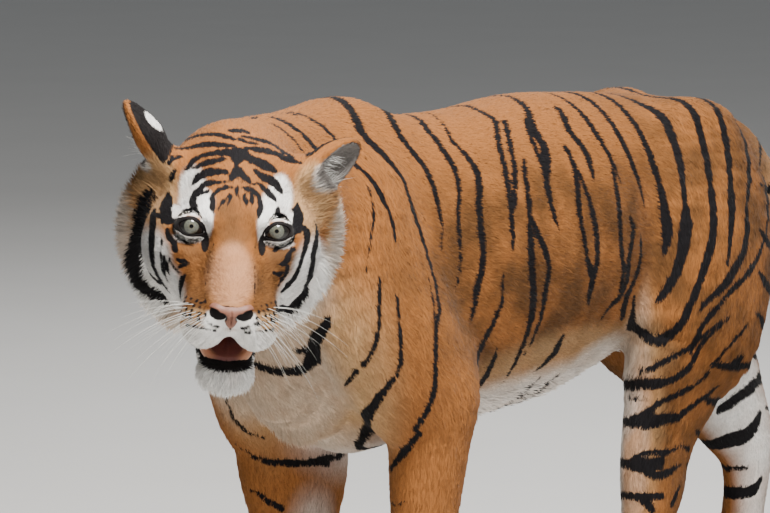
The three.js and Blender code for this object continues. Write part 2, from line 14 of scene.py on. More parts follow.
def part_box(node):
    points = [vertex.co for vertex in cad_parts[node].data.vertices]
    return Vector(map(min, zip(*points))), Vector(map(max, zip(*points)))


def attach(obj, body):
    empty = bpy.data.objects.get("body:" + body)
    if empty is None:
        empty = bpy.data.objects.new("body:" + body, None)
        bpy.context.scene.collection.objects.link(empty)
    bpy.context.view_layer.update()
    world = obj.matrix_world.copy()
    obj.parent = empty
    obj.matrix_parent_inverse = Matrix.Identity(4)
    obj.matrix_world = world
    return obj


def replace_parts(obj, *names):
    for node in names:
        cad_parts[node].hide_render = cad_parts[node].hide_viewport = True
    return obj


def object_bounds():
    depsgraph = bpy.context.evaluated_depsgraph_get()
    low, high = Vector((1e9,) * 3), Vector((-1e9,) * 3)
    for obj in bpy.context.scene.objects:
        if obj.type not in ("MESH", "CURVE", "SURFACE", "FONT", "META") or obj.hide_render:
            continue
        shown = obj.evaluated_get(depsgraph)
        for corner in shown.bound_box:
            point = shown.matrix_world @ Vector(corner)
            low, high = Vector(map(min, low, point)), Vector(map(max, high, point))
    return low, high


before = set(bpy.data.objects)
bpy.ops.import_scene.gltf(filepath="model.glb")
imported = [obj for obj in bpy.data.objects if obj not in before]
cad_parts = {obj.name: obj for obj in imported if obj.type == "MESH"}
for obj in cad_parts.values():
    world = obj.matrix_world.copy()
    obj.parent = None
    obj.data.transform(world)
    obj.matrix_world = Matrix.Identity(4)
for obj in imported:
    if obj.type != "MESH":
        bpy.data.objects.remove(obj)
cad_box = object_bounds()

SEED = 7
FAR = 3.0
NEAR = 0.10  # a shape has no say further than this from its own box

# ---------- the body, as in the solids ----------
EYE_RADIUS = 0.020
EYE_SPACING = 0.112
EYE_FORWARD = 0.022
EYE_RISE = 0.005
HEAD_AT = (0.807, 0.239, 0.747)
HEAD_YAW = 42
HEAD_PITCH = 19
HEAD_ROLL = 4

# Tubes: (x, y, z, half-width, half-depth) at each station, half-width measured across the animal.
TRUNK = [
    (0.452, 0, 0.596, 0.07, 0.096),
    (0.392, 0, 0.58, 0.114, 0.2),
    (0.31, 0, 0.602, 0.148, 0.246),
    (0.2, 0, 0.604, 0.164, 0.231),
    (0.06, 0, 0.608, 0.174, 0.225),
    (-0.08, 0, 0.621, 0.172, 0.224),
    (-0.18, 0, 0.633, 0.162, 0.208),
    (-0.28, 0, 0.648, 0.146, 0.186),
    (-0.37, 0, 0.682, 0.13, 0.143),
    (-0.44, 0, 0.7, 0.112, 0.111),
    (-0.51, 0, 0.702, 0.094, 0.092),
    (-0.575, 0, 0.696, 0.066, 0.068),
]

NECK = [
    (0.33, 0, 0.7, 0.104, 0.16),
    (0.45, 0.03, 0.706, 0.108, 0.158),
    (0.56, 0.072, 0.732, 0.106, 0.136),
    (0.65, 0.114, 0.75, 0.1, 0.118),
    (0.72, 0.16, 0.752, 0.092, 0.106),
]

TAIL = [
    (-0.53, 0, 0.742, 0.044, 0.044),
    (-0.615, 0.006, 0.716, 0.036, 0.036),
    (-0.69, 0.016, 0.64, 0.031, 0.031),
    (-0.745, 0.03, 0.53, 0.028, 0.028),
    (-0.78, 0.045, 0.412, 0.026, 0.026),
    (-0.82, 0.06, 0.304, 0.025, 0.025),
    (-0.89, 0.074, 0.228, 0.024, 0.024),
    (-0.98, 0.084, 0.21, 0.022, 0.022),
    (-1.06, 0.09, 0.248, 0.018, 0.018),
]

FORELEG_LEFT = [
    (0.35, 0.046, 0.784, 0.034, 0.056),
    (0.378, 0.084, 0.738, 0.05, 0.082),
    (0.402, 0.104, 0.666, 0.06, 0.108),
    (0.384, 0.116, 0.59, 0.064, 0.116),
    (0.326, 0.126, 0.51, 0.066, 0.112),
    (0.278, 0.13, 0.45, 0.062, 0.1),
    (0.272, 0.13, 0.39, 0.056, 0.072),
    (0.277, 0.128, 0.31, 0.05, 0.058),
    (0.282, 0.125, 0.23, 0.043, 0.047),
    (0.286, 0.123, 0.165, 0.042, 0.042),
    (0.292, 0.122, 0.1, 0.042, 0.04),
]

FORELEG_RIGHT = [
    (0.366, -0.046, 0.784, 0.034, 0.056),
    (0.384, -0.082, 0.738, 0.05, 0.08),
    (0.398, -0.098, 0.666, 0.06, 0.1),
    (0.39, -0.108, 0.59, 0.064, 0.106),
    (0.348, -0.116, 0.51, 0.068, 0.114),
    (0.308, -0.124, 0.45, 0.068, 0.12),
    (0.282, -0.122, 0.39, 0.062, 0.11),
    (0.278, -0.116, 0.31, 0.056, 0.102),
    (0.29, -0.108, 0.23, 0.048, 0.072),
    (0.302, -0.106, 0.165, 0.043, 0.048),
    (0.316, -0.105, 0.1, 0.042, 0.04),
]

HINDLEG_LEFT = [
    (-0.385, 0.078, 0.76, 0.06, 0.112),
    (-0.385, 0.1, 0.68, 0.076, 0.152),
    (-0.375, 0.112, 0.6, 0.082, 0.166),
    (-0.355, 0.118, 0.494, 0.078, 0.152),
    (-0.325, 0.118, 0.442, 0.066, 0.116),
    (-0.312, 0.116, 0.404, 0.058, 0.102),
    (-0.298, 0.114, 0.367, 0.052, 0.086),
    (-0.286, 0.112, 0.333, 0.047, 0.076),
    (-0.276, 0.11, 0.29, 0.043, 0.068),
    (-0.272, 0.109, 0.247, 0.041, 0.062),
    (-0.26, 0.108, 0.195, 0.036, 0.046),
    (-0.248, 0.107, 0.14, 0.034, 0.036),
    (-0.24, 0.106, 0.095, 0.037, 0.038),
]

HINDLEG_RIGHT = [
    (-0.39, -0.078, 0.76, 0.06, 0.112),
    (-0.415, -0.096, 0.68, 0.076, 0.152),
    (-0.465, -0.104, 0.6, 0.082, 0.166),
    (-0.54, -0.105, 0.51, 0.076, 0.158),
    (-0.62, -0.1, 0.43, 0.064, 0.132),
    (-0.685, -0.094, 0.36, 0.055, 0.106),
    (-0.722, -0.088, 0.305, 0.047, 0.084),
    (-0.75, -0.084, 0.262, 0.042, 0.068),
    (-0.762, -0.08, 0.225, 0.038, 0.056),
    (-0.76, -0.078, 0.18, 0.034, 0.044),
    (-0.75, -0.076, 0.135, 0.034, 0.038),
    (-0.74, -0.075, 0.095, 0.037, 0.038),
]

# Balls: (x, y, z, half-length, half-width, half-height). In the head, one with y above 0 has a twin.
HEAD_BALLS = [
    (-0.085, 0, -0.004, 0.112, 0.082, 0.082),  # cranium
    (-0.15, 0, -0.022, 0.092, 0.084, 0.088),  # nape
    (0, 0.034, 0.012, 0.042, 0.032, 0.028),  # brow
    (-0.044, 0.074, -0.046, 0.086, 0.048, 0.064),  # cheek
    (0.008, 0.05, -0.054, 0.064, 0.044, 0.054),  # side of the face
    (-0.024, 0.038, -0.106, 0.064, 0.044, 0.042),  # throat and angle of the jaw
    (0.056, 0, -0.076, 0.072, 0.055, 0.048),  # muzzle
    (0.098, 0.03, -0.09, 0.046, 0.035, 0.037),  # whisker pad
    (0.09, 0, -0.173, 0.033, 0.04, 0.028),  # chin
]

NOSE_BRIDGE = [
    (-0.022, 0, 0, 0.042, 0.036),
    (0.036, 0, -0.018, 0.036, 0.031),
    (0.084, 0, -0.038, 0.032, 0.027),
    (0.118, 0, -0.06, 0.029, 0.022),
]

LOWER_JAW = [
    (-0.08, 0, -0.11, 0.062, 0.042),
    (0, 0, -0.142, 0.048, 0.036),
    (0.056, 0, -0.166, 0.04, 0.032),
    (0.09, 0, -0.172, 0.032, 0.025),
]

RUFF = [
    (-0.092, 0.088, 0.034, 0.032, 0.03),
    (-0.1, 0.114, -0.022, 0.036, 0.036),
    (-0.094, 0.116, -0.074, 0.038, 0.036),
    (-0.074, 0.094, -0.122, 0.036, 0.034),
    (-0.052, 0.058, -0.154, 0.03, 0.028),
]

PAW_BALLS = [
    (0, 0, 0.04, 0.058, 0.05, 0.05),
    (0.058, 0.018, 0.024, 0.036, 0.021, 0.029),
    (0.058, -0.018, 0.024, 0.036, 0.021, 0.029),
    (0.042, 0.046, 0.022, 0.034, 0.021, 0.027),
    (0.042, -0.046, 0.022, 0.034, 0.021, 0.027),
]
# Paws: (x, y, heading, scale).
PAWS = {
    "forepaw_left": (0.307, 0.122, 4, 1.05),
    "forepaw_right": (0.331, -0.105, -4, 1.05),
    "hindpaw_left": (-0.222, 0.106, 5, 0.95),
    "hindpaw_right": (-0.720, -0.075, -5, 0.95),
}
MOUTH = (0.072, 0, -0.126, 0.080, 0.042, 0.023)
SOCKET = (0.048, 0.057, 0.005, 0.025, 0.023, 0.016)
EARS = {
    "left": {"base": (-0.098, 0.104, 0.030), "tip": (-0.144, 0.165, 0.062), "opens": (0.62, 0.75, -0.05)},
    "right": {"base": (-0.098, -0.100, 0.046), "tip": (-0.118, -0.150, 0.115), "opens": (-0.10, -0.97, -0.3)},
}
EAR_BALL = (0.022, 0.035, 0.054)  # half-lengths: front to back, across, along
EAR_HOLLOW = (0.0165, 0, 0.003)  # how the hollow's middle lies from the ball's
EAR_HOLLOW_BALL = (0.0242, 0.028, 0.047)


# ---------- vectors ----------
def turn(axis, degrees):
    return Matrix.Rotation(math.radians(degrees), 4, axis)


BODY = Matrix.Identity(4)
HEAD = Matrix.Translation(HEAD_AT) @ turn("Z", HEAD_YAW) @ turn("Y", HEAD_PITCH) @ turn("X", -HEAD_ROLL)


def place(p, matrix):
    """Points of a local frame, in the body's frame."""
    m = np.array(matrix)
    return np.asarray(p, float) @ m[:3, :3].T + m[:3, 3]


def local(p, matrix):
    """Points of the body's frame, in a local frame."""
    return place(p, matrix.inverted())


def unit(v):
    v = np.asarray(v, float)
    return v / np.maximum(np.linalg.norm(v, axis=-1, keepdims=True), 1e-12)


def step(value, start, end):
    """0 before start, 1 after end, and smooth between them."""
    t = np.clip((value - start) / (end - start), 0, 1)
    return t * t * (3 - 2 * t)


def smooth_min(a, b, k):
    if not k:
        return np.minimum(a, b)
    h = np.maximum(k - np.abs(a - b), 0) / k
    return np.minimum(a, b) - h * h * k / 4


def smooth_max(a, b, k):
    return -smooth_min(-a, -b, k)


def waves(p, size, seed):
    """Soft noise between about -1 and 1, with features of the given size."""
    rng = np.random.default_rng(seed)
    total = np.zeros(len(p))
    for _ in range(7):
        way = unit(rng.normal(size=3)) * (2 * math.pi / size) * rng.uniform(0.6, 1.5)
        total += np.sin(p @ way + rng.uniform(0, 2 * math.pi))
    return total / 3


# ---------- forms: a distance that is negative inside, and the box where it counts ----------
class Form:
    def __init__(self, low, high, inner):
        self.low = np.array(low)
        self.high = np.array(high)
        self.inner = inner

    def near(self, p):
        return np.flatnonzero(np.all((p > self.low) & (p < self.high), axis=1))

    def __call__(self, p):
        distance = np.full(len(p), FAR)
        near = self.near(p)
        if len(near):
            distance[near] = self.inner(p[near])
        return distance


def ellipsoid(q, r):
    """Distance to the surface of an ellipsoid with half-axes r, near enough close to it, for offsets q."""
    k0 = np.sqrt(sum((q[i] / r[i]) ** 2 for i in range(3)))
    k1 = np.sqrt(sum((q[i] / (r[i] * r[i])) ** 2 for i in range(3)))
    return k0 * (k0 - 1) / np.maximum(k1, 1e-6)


def ball(row, matrix=BODY, grow=0.0):
    x, y, z, *radii = row
    radii = [r + grow for r in radii]
    size = abs(matrix.to_3x3().determinant()) ** (1 / 3)
    centre = place((x, y, z), matrix)
    reach = max(radii) * size + NEAR

    def inner(p):
        return size * ellipsoid((local(p, matrix) - (x, y, z)).T, radii)

    return Form(centre - reach, centre + reach, inner)


def blend(parts):
    """Forms run into each other: [(form, blend length), ...]."""

    def inner(p):
        distance = np.full(len(p), FAR)
        for form, k in parts:
            near = form.near(p)
            if len(near):
                distance[near] = smooth_min(distance[near], form.inner(p[near]), k)
        return distance

    low = np.min([form.low for form, _ in parts], axis=0)
    high = np.max([form.high for form, _ in parts], axis=0)
    return Form(low, high, inner)


def refine(stations, steps=4):
    """A Catmull-Rom curve through the stations, cut into short straight lengths."""
    s = np.array(stations, float)
    padded = np.vstack([s[:1], s, s[-1:]])
    fine = []
    for a, b, c, d in zip(padded, padded[1:], padded[2:], padded[3:]):
        for n in range(steps):
            t = n / steps
            bend = (2 * a - 5 * b + 4 * c - d) * t * t + (3 * b - a - 3 * c + d) * t**3
            fine.append((2 * b + (c - a) * t + bend) / 2)
    return np.array(fine + [s[-1]])


class Tube:
    """A tube through stations: its form, and the way that it runs at any point near it."""

    def __init__(self, stations, matrix=BODY, mirror=1):
        fine = refine(stations)
        points = place(fine[:, :3] * (1, mirror, 1), matrix)
        across = np.array(matrix.to_3x3() @ Vector((0, 1, 0)))
        self.lengths = []
        for start, end, size, next_size in zip(points, points[1:], fine[:, 3:], fine[1:, 3:]):
            span = np.linalg.norm(end - start)
            axis = (end - start) / span
            side = unit(across - across @ axis * axis)
            frame_ = (start, axis, span, side, np.cross(axis, side), size, next_size)
            reach = max(*size, *next_size) + NEAR
            low, high = np.minimum(start, end) - reach, np.maximum(start, end) + reach
            self.lengths.append(Form(low, high, lambda p, f=frame_: self.distance(p, *f)))
        self.axes = unit(np.diff(points, axis=0))
        self.form = blend([(length, 0) for length in self.lengths])

    @staticmethod
    def distance(p, start, axis, span, side, up, size, next_size):
        offset = p - start
        along = offset @ axis
        t = np.clip(along / span, 0, 1)
        wide = size[0] + (next_size[0] - size[0]) * t
        deep = size[1] + (next_size[1] - size[1]) * t
        return ellipsoid((along - t * span, offset @ side, offset @ up), (np.minimum(wide, deep), wide, deep))

    def flow(self, p):
        """The distance, and the way that the nearest length runs."""
        best = np.full(len(p), FAR)
        way = np.zeros((len(p), 3))
        for length, axis in zip(self.lengths, self.axes):
            d = length(p)
            nearer = d < best
            best[nearer] = d[nearer]
            way[nearer] = axis
        return best, way


def twins(row):
    return [row, (row[0], -row[1], *row[2:])] if row[1] > 0 else [row]


def paw_matrix(paw):
    x, y, heading, scale = paw
    return Matrix.Translation((x, y, 0)) @ turn("Z", heading) @ Matrix.Scale(scale, 4)


def ear_matrix(ear):
    """The ear's own frame: x the way it opens, z along it, from the middle of its ball."""
    foot, tip = place([ear["base"], ear["tip"]], HEAD)
    up = unit(tip - foot)
    front = np.array(HEAD.to_3x3() @ Vector(ear["opens"]))
    front = unit(front - front @ up * up)
    centre = tip - up * EAR_BALL[2]
    frame_ = np.identity(4)
    frame_[:3] = np.stack([front, np.cross(up, front), up, centre], axis=1)
    return Matrix(frame_)


TUBES = {
    "trunk": Tube(TRUNK),
    "neck": Tube(NECK),
    "tail": Tube(TAIL),
    "foreleg_left": Tube(FORELEG_LEFT),
    "foreleg_right": Tube(FORELEG_RIGHT),
    "hindleg_left": Tube(HINDLEG_LEFT),
    "hindleg_right": Tube(HINDLEG_RIGHT),
}
EAR_FRAMES = {side: ear_matrix(ear) for side, ear in EARS.items()}
head_form = blend(
    [(ball(row, HEAD), 0.028) for rows in HEAD_BALLS for row in twins(rows)]
    + [(Tube(NOSE_BRIDGE, HEAD).form, 0.020), (Tube(LOWER_JAW, HEAD).form, 0.016)]
    + [(Tube(RUFF, HEAD, mirror).form, 0.030) for mirror in (1, -1)]
)
paw_forms = [blend([(ball(row, paw_matrix(paw)), 0.009) for row in PAW_BALLS]) for paw in PAWS.values()]
whole = blend(
    [(TUBES["trunk"].form, 0.001), (TUBES["neck"].form, 0.060), (TUBES["tail"].form, 0.030)]
    + [(tube.form, 0.034) for name, tube in TUBES.items() if "leg" in name]
    + [(paw, 0.022) for paw in paw_forms]
    + [(head_form, 0.040)]
)
mouth = ball(MOUTH, HEAD)
sockets = blend([(ball(row, HEAD), 0) for row in twins(SOCKET)])


def coat_form(p):
    """Distance to the tips of the coat, as in the solids."""
    return smooth_max(smooth_max(whole(p), -mouth(p), 0.008), -sockets(p), 0.010)


# ---------- the fur: how deep, long, wide and raised it is in each place ----------
# A place is a set of soft balls, in the body's or the head's frame. Later rows lie over earlier ones.
# Fur: depth of the coat, length and width of a lock, its rise from the skin in degrees, spacing of the roots.
FUR_BODY = (0.0045, 0.0120, 0.0017, 6.5, 0.0032)
FUR_PLACES = [
    ("neck", BODY, [(0.60, 0.10, 0.74, 0.18, 0.20, 0.20)], (0.0050, 0.0135, 0.0017, 7, 0.0031)),
    ("throat", BODY, [(0.64, 0.12, 0.62, 0.12, 0.12, 0.07)], (0.0065, 0.0180, 0.0016, 9, 0.0031)),
    ("chest", BODY, [(0.46, 0.00, 0.52, 0.10, 0.12, 0.17)], (0.0055, 0.0160, 0.0016, 8, 0.0031)),
    ("belly", BODY, [(0.06, 0, 0.41, 0.36, 0.12, 0.05)], (0.0085, 0.0280, 0.0020, 16, 0.0034)),
    ("flank fold", BODY, [(-0.17, 0, 0.44, 0.10, 0.17, 0.07)], (0.0065, 0.0220, 0.0018, 11, 0.0033)),
    ("lower legs in front", BODY, [(0.29, 0, 0.20, 0.20, 0.24, 0.20)], (0.0035, 0.0090, 0.0016, 6.5, 0.0031)),
    ("lower legs behind", BODY, [(-0.50, 0, 0.16, 0.46, 0.24, 0.20)], (0.0035, 0.0090, 0.0016, 6.5, 0.0031)),
    ("feet", BODY, [(-0.20, 0, 0.02, 0.9, 0.4, 0.10)], (0.0025, 0.0070, 0.0014, 7, 0.0029)),
    ("tail", BODY, [(-0.84, 0.05, 0.36, 0.24, 0.10, 0.34)], (0.0050, 0.0150, 0.0019, 15, 0.0030)),
    ("head", HEAD, [(-0.02, 0, -0.05, 0.19, 0.16, 0.17)], (0.0036, 0.0085, 0.0012, 7, 0.0025)),
    ("ruff", HEAD, [(-0.09, s * 0.105, -0.06, 0.055, 0.055, 0.11) for s in (1, -1)],
     (0.0075, 0.0190, 0.0014, 11, 0.0026)),
    ("under the ruff", HEAD, [(-0.06, s * 0.06, -0.15, 0.06, 0.06, 0.05) for s in (1, -1)],
     (0.0075, 0.0220, 0.0016, 15, 0.0028)),
    ("face", HEAD, [(0.05, 0, -0.03, 0.10, 0.085, 0.075)], (0.0022, 0.0052, 0.0010, 9, 0.0021)),
    ("muzzle", HEAD, [(0.105, 0, -0.075, 0.065, 0.068, 0.045)], (0.0016, 0.0042, 0.0009, 9, 0.0020)),
    ("chin", HEAD, [(0.085, 0, -0.187, 0.050, 0.050, 0.027)], (0.0050, 0.0150, 0.0013, 16, 0.0024)),
    ("mouth", HEAD, [(0.060, 0, -0.126, 0.085, 0.046, 0.026)], (0.0010, 0.0030, 0.0009, 8, 0.0040)),
    ("ears", HEAD, [(-0.122, 0.135, 0.046, 0.05, 0.05, 0.05), (-0.110, -0.125, 0.082, 0.05, 0.05, 0.06)],
     (0.0014, 0.0060, 0.0011, 10, 0.0021)),
]
BARE = [(HEAD, (0.060, 0, -0.126, 0.078, 0.040, 0.021)), (HEAD, (0.132, 0, -0.064, 0.030, 0.029, 0.019))]
LIP_CLEFT = (0.142, 0, -0.110, 0.024, 0.0120, 0.0140)
PADS = [(0.100, 0.034, -0.100, 0.040, 0.027, 0.0240)]  # whisker pads, hanging over the mouth


def inside(p, matrix, rows, start=1.15, end=0.75):
    """How far each point is inside a set of soft balls: 1 well inside, 0 outside."""
    q = local(p, matrix)
    best = np.zeros(len(p))
    for x, y, z, *radii in rows:
        reach = np.linalg.norm((q - (x, y, z)) / radii, axis=1)
        best = np.maximum(best, step(reach, start, end))
    return best


def fur_at(p):
    """Depth, length, width, rise and spacing at each point, as columns."""
    fur = np.tile(FUR_BODY, (len(p), 1))
    for _, matrix, rows, values in FUR_PLACES:
        weight = inside(p, matrix, rows)[:, None]
        fur = fur * (1 - weight) + np.array(values) * weight
    return fur


# ---------- the skin ----------
# Swellings and hollows over muscle and bone: (x, y, z, length, width, height of the place, rise).
SWELLS = [
    (0.345, 0.13, 0.745, 0.040, 0.06, 0.10, 0.006),  # edge of the left shoulder blade
    (0.225, 0.16, 0.640, 0.045, 0.07, 0.12, -0.007),  # hollow behind it
    (0.330, 0.17, 0.560, 0.055, 0.06, 0.060, 0.006),  # upper arm
    (0.250, 0.17, 0.450, 0.030, 0.05, 0.035, 0.005),  # elbow
    (-0.215, 0.16, 0.640, 0.060, 0.07, 0.10, -0.008),  # hollow of the flank
    (-0.330, 0.16, 0.560, 0.060, 0.07, 0.080, 0.006),  # thigh
    (-0.430, 0.12, 0.760, 0.035, 0.05, 0.040, 0.006),  # hip
    (0.355, -0.13, 0.745, 0.040, 0.06, 0.10, 0.006),
    (0.235, -0.16, 0.640, 0.045, 0.07, 0.12, -0.007),
    (0.335, -0.17, 0.560, 0.055, 0.06, 0.060, 0.006),
    (0.270, -0.17, 0.450, 0.030, 0.05, 0.035, 0.005),
    (-0.235, -0.16, 0.640, 0.060, 0.07, 0.10, -0.008),
    (-0.440, -0.16, 0.580, 0.060, 0.07, 0.080, 0.006),
    (-0.440, -0.12, 0.760, 0.035, 0.05, 0.040, 0.006),
]
CLEAR_OF_FLOOR = 0.002
PAW_TOP = 0.12
PAW_COAT = 0.0028
EAR_TAPER = (0.5, 0.15, 0)  # how much narrower an ear is at its tip
GRID_NEAR = 3  # the first, coarse look at the forms takes every third point of the grid
SPACING = {  # of the skin's grid along each axis: (from, to, spacing)
    "x": [(-1.10, 0.585, 0.0070), (0.585, 1.02, 0.0033)],
    "y": [(-0.24, 0.05, 0.0060), (0.05, 0.46, 0.0033)],
    "z": [(-0.02, 0.13, 0.0045), (0.13, 0.54, 0.0070), (0.54, 0.94, 0.0033)],
}
LID_SKIN = 0.0212  # radius of the skin over an eye
lid_balls = [
    ball(row, HEAD) for row in twins((EYE_FORWARD, EYE_SPACING / 2, EYE_RISE, LID_SKIN, LID_SKIN, LID_SKIN))
]
soft_paws = [blend([(ball(row, paw_matrix(paw)), 0.022) for row in PAW_BALLS]) for paw in PAWS.values()]
pads = [ball(row, HEAD) for rows in PADS for row in twins(rows)]
lip_cleft = ball(LIP_CLEFT, HEAD)
ear_shells = [
    (ball((0, 0, 0, *EAR_BALL), matrix, -0.0008), ball((*EAR_HOLLOW, *EAR_HOLLOW_BALL), matrix, -0.0008))
    for matrix in EAR_FRAMES.values()
]


def skin_form(p):
    """Distance to the skin, which lies inside the coat by its depth."""
    distance = coat_form(p) + fur_at(p)[:, 0]
    for x, y, z, *radii, rise in SWELLS:
        near = np.flatnonzero(np.all(np.abs(p - (x, y, z)) < np.array(radii) * 3, axis=1))
        q = (p[near] - (x, y, z)) / radii
        distance[near] -= rise * np.exp(-np.sum(q * q, axis=1))
    low = np.flatnonzero(p[:, 2] < PAW_TOP)
    for paw in soft_paws:  # fills the grooves between the toes
        distance[low] = np.minimum(distance[low], paw(p[low]) + PAW_COAT)
    for pad in pads:
        near = pad.near(p)
        distance[near] = smooth_min(distance[near], pad.inner(p[near]), 0.010)
    for lid in lid_balls:
        near = lid.near(p)
        distance[near] = smooth_min(distance[near], lid.inner(p[near]), 0.009)
    distance = smooth_max(distance, -lip_cleft(p), 0.006)
    for (outer, hollow), matrix in zip(ear_shells, EAR_FRAMES.values()):
        near = outer.near(p)
        q = local(p[near], matrix)
        high = np.clip(q[:, 2] / EAR_BALL[2], 0, 1)[:, None]
        q = place(q * (1 + high * EAR_TAPER), matrix)
        shell = smooth_max(outer.inner(q), -hollow.inner(q), 0.003)
        distance[near] = smooth_min(distance[near], shell, 0.010)
    return np.maximum(distance, CLEAR_OF_FLOOR - p[:, 2])


def axis_points(spans):
    parts = [np.arange(start, end, size) for start, end, size in spans]
    return np.concatenate(parts)


def grid_values(form, axes):
    """The form at each point of a grid, worked out in full only near its surface."""
    coarse = [np.append(axis[::GRID_NEAR], axis[-1]) for axis in axes]
    points = np.stack(np.meshgrid(*coarse, indexing="ij"), axis=-1)
    rough = form(points.reshape(-1, 3)).reshape(points.shape[:3])
    reach = np.linalg.norm([np.max(np.diff(axis)) for axis in coarse])
    close = np.abs(rough) < reach
    which = [np.minimum((np.arange(len(axis)) + GRID_NEAR // 2) // GRID_NEAR, len(c) - 1)
             for axis, c in zip(axes, coarse)]
    spread = np.ix_(*which)
    values = rough[spread]
    todo = np.argwhere(close[spread])
    exact = form(np.stack([axes[n][todo[:, n]] for n in range(3)], axis=1))
    values[tuple(todo.T)] = exact
    return values


def surface_net(form, axes):
    """Vertices and quads of the surface where the form is 0: one vertex for each cell that it crosses."""
    values = grid_values(form, axes)
    solid = values < 0
    shape = tuple(n - 1 for n in values.shape)
    corners = [(a, b, c) for a in (0, 1) for b in (0, 1) for c in (0, 1)]
    count = np.zeros(shape, np.int8)
    for a, b, c in corners:
        count += solid[a : a + shape[0], b : b + shape[1], c : c + shape[2]]
    cells = np.argwhere((count > 0) & (count < 8))
    total = np.zeros((len(cells), 3))
    crossings = np.zeros(len(cells))
    for corner in corners:
        for n in range(3):
            if corner[n]:
                continue
            start = cells + corner
            end = start + np.eye(3, dtype=int)[n]
            a, b = values[tuple(start.T)], values[tuple(end.T)]
            cut = (a < 0) != (b < 0)
            p = np.stack([axes[m][start[cut][:, m]] for m in range(3)], axis=1)
            q = np.stack([axes[m][end[cut][:, m]] for m in range(3)], axis=1)
            t = (a[cut] / (a[cut] - b[cut]))[:, None]
            total[cut] += p + (q - p) * t
            crossings[cut] += 1
    vertices = total / crossings[:, None]
    index = np.full(shape, -1)
    index[tuple(cells.T)] = np.arange(len(cells))
    quads = []
    for n in range(3):
        way, d1, d2 = np.roll(np.eye(3, dtype=int), -n, axis=0)
        first = np.argwhere(np.diff(solid, axis=n))
        first = first[(first[:, (n + 1) % 3] > 0) & (first[:, (n + 2) % 3] > 0)]
        first = first[np.all(first < shape, axis=1)]
        ring = np.stack([index[tuple((first - d).T)] for d in (0 * way, d1, d1 + d2, d2)], axis=1)
        outward = solid[tuple(first.T)]
        ring[~outward] = ring[~outward][:, ::-1]
        quads.append(ring)
    return vertices, np.concatenate(quads)


def slope(form, p, size=0.0008):
    here = form(p)
    return here, np.stack([form(p + way) - here for way in np.eye(3) * size], axis=1) / size


def settle(form, p, times=2, most=0.004):
    """Moves points onto the surface of a form."""
    for _ in range(times):
        here, way = slope(form, p)
        shift = -way * (here / np.maximum(np.sum(way * way, axis=1), 0.3))[:, None]
        length = np.linalg.norm(shift, axis=1, keepdims=True)
        p = p + shift * np.minimum(1, most / np.maximum(length, 1e-9))
    return p


def corner_normals(vertices, quads):
    """Normals of the vertices, from the quads round them."""
    a, b, c, d = (vertices[quads[:, n]] for n in range(4))
    across = np.cross(c - a, d - b)
    normals = np.zeros_like(vertices)
    for n in range(4):
        np.add.at(normals, quads[:, n], across)
    return unit(normals)


# ---------- from numbers to objects ----------
eye_low, eye_high = (np.array(corner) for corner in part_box("eye_left"))
OFFSET = (eye_low + eye_high) / 2 - place((EYE_FORWARD, EYE_SPACING / 2, EYE_RISE), HEAD)


def add_mesh(name, vertices, faces, material, values=None):
    """A new object from arrays. values: {attribute name: one number for each vertex}."""
    vertices = np.asarray(vertices, np.float32) + OFFSET.astype(np.float32)
    faces = np.asarray(faces, np.int32)
    sides = faces.shape[1]
    mesh = bpy.data.meshes.new(name)
    mesh.vertices.add(len(vertices))
    mesh.vertices.foreach_set("co", vertices.ravel())
    mesh.loops.add(faces.size)
    mesh.loops.foreach_set("vertex_index", faces.ravel())
    mesh.polygons.add(len(faces))
    mesh.polygons.foreach_set("loop_start", np.arange(0, faces.size, sides, dtype=np.int32))
    mesh.update(calc_edges=True)
    mesh.shade_smooth()
    for key, numbers in (values or {}).items():
        mesh.attributes.new(key, "FLOAT", "POINT").data.foreach_set("value", np.asarray(numbers, np.float32))
    mesh.materials.append(material)
    thing = bpy.data.objects.new(name, mesh)
    bpy.context.scene.collection.objects.link(thing)
    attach(thing, "root")
    return thing


# ---------- markings ----------
# A stripe is a line of (across, up, half-width) on the skin, given in one of these views:
#   girth: (x, turn round the trunk's axis from the spine towards the left)
#   left, right, inner: (x, z), seen from the left, from the right, and from the midline towards the right
#   front, rear: (y, z), seen from the front and from behind
#   hind left and the like: (turn round the leg from its front towards the left, height)
#   mask: (across, up) on the face, seen from before it and 26 degrees above
TRUNK_AXIS = 0.620  # height that the girth's turns are measured from
GIRTH_START = 0.40  # how far from that axis the girth's lines of sight start
MASK = HEAD @ turn("Y", -26)
MASK_START = 0.28  # in front of the mask's origin
PILLARS = {"hind left": (-0.300, 0.112), "hind right": (-0.700, -0.085)}  # (x, y) of the legs' axes
PILLAR_START = 0.16
ENDS = {"front": 0.60, "rear": -1.15}  # the x that lines of sight start from
SIDES = {"left": (0.45, -1), "right": (-0.45, 1), "inner": (-0.005, -1), "inner left": (0.005, 1)}  # y, way
MARCH = 60  # steps along a line of sight, each MARCH_SHARE of the distance, or MARCH_MOST
MARCH_SHARE = 0.8
MARCH_MOST = 0.05
LEAST_FACING = 0.6  # widths on the mask grow where the skin turns away, up to this
STRIPE_GROWTH = 1.22
FACE_GROWTH = 1.04
MARK_DEPTH = 0.016  # a stripe doesn't reach through to skin deeper than this below it
FARTHEST = 0.02  # marks further than this from a point are left out of its sum


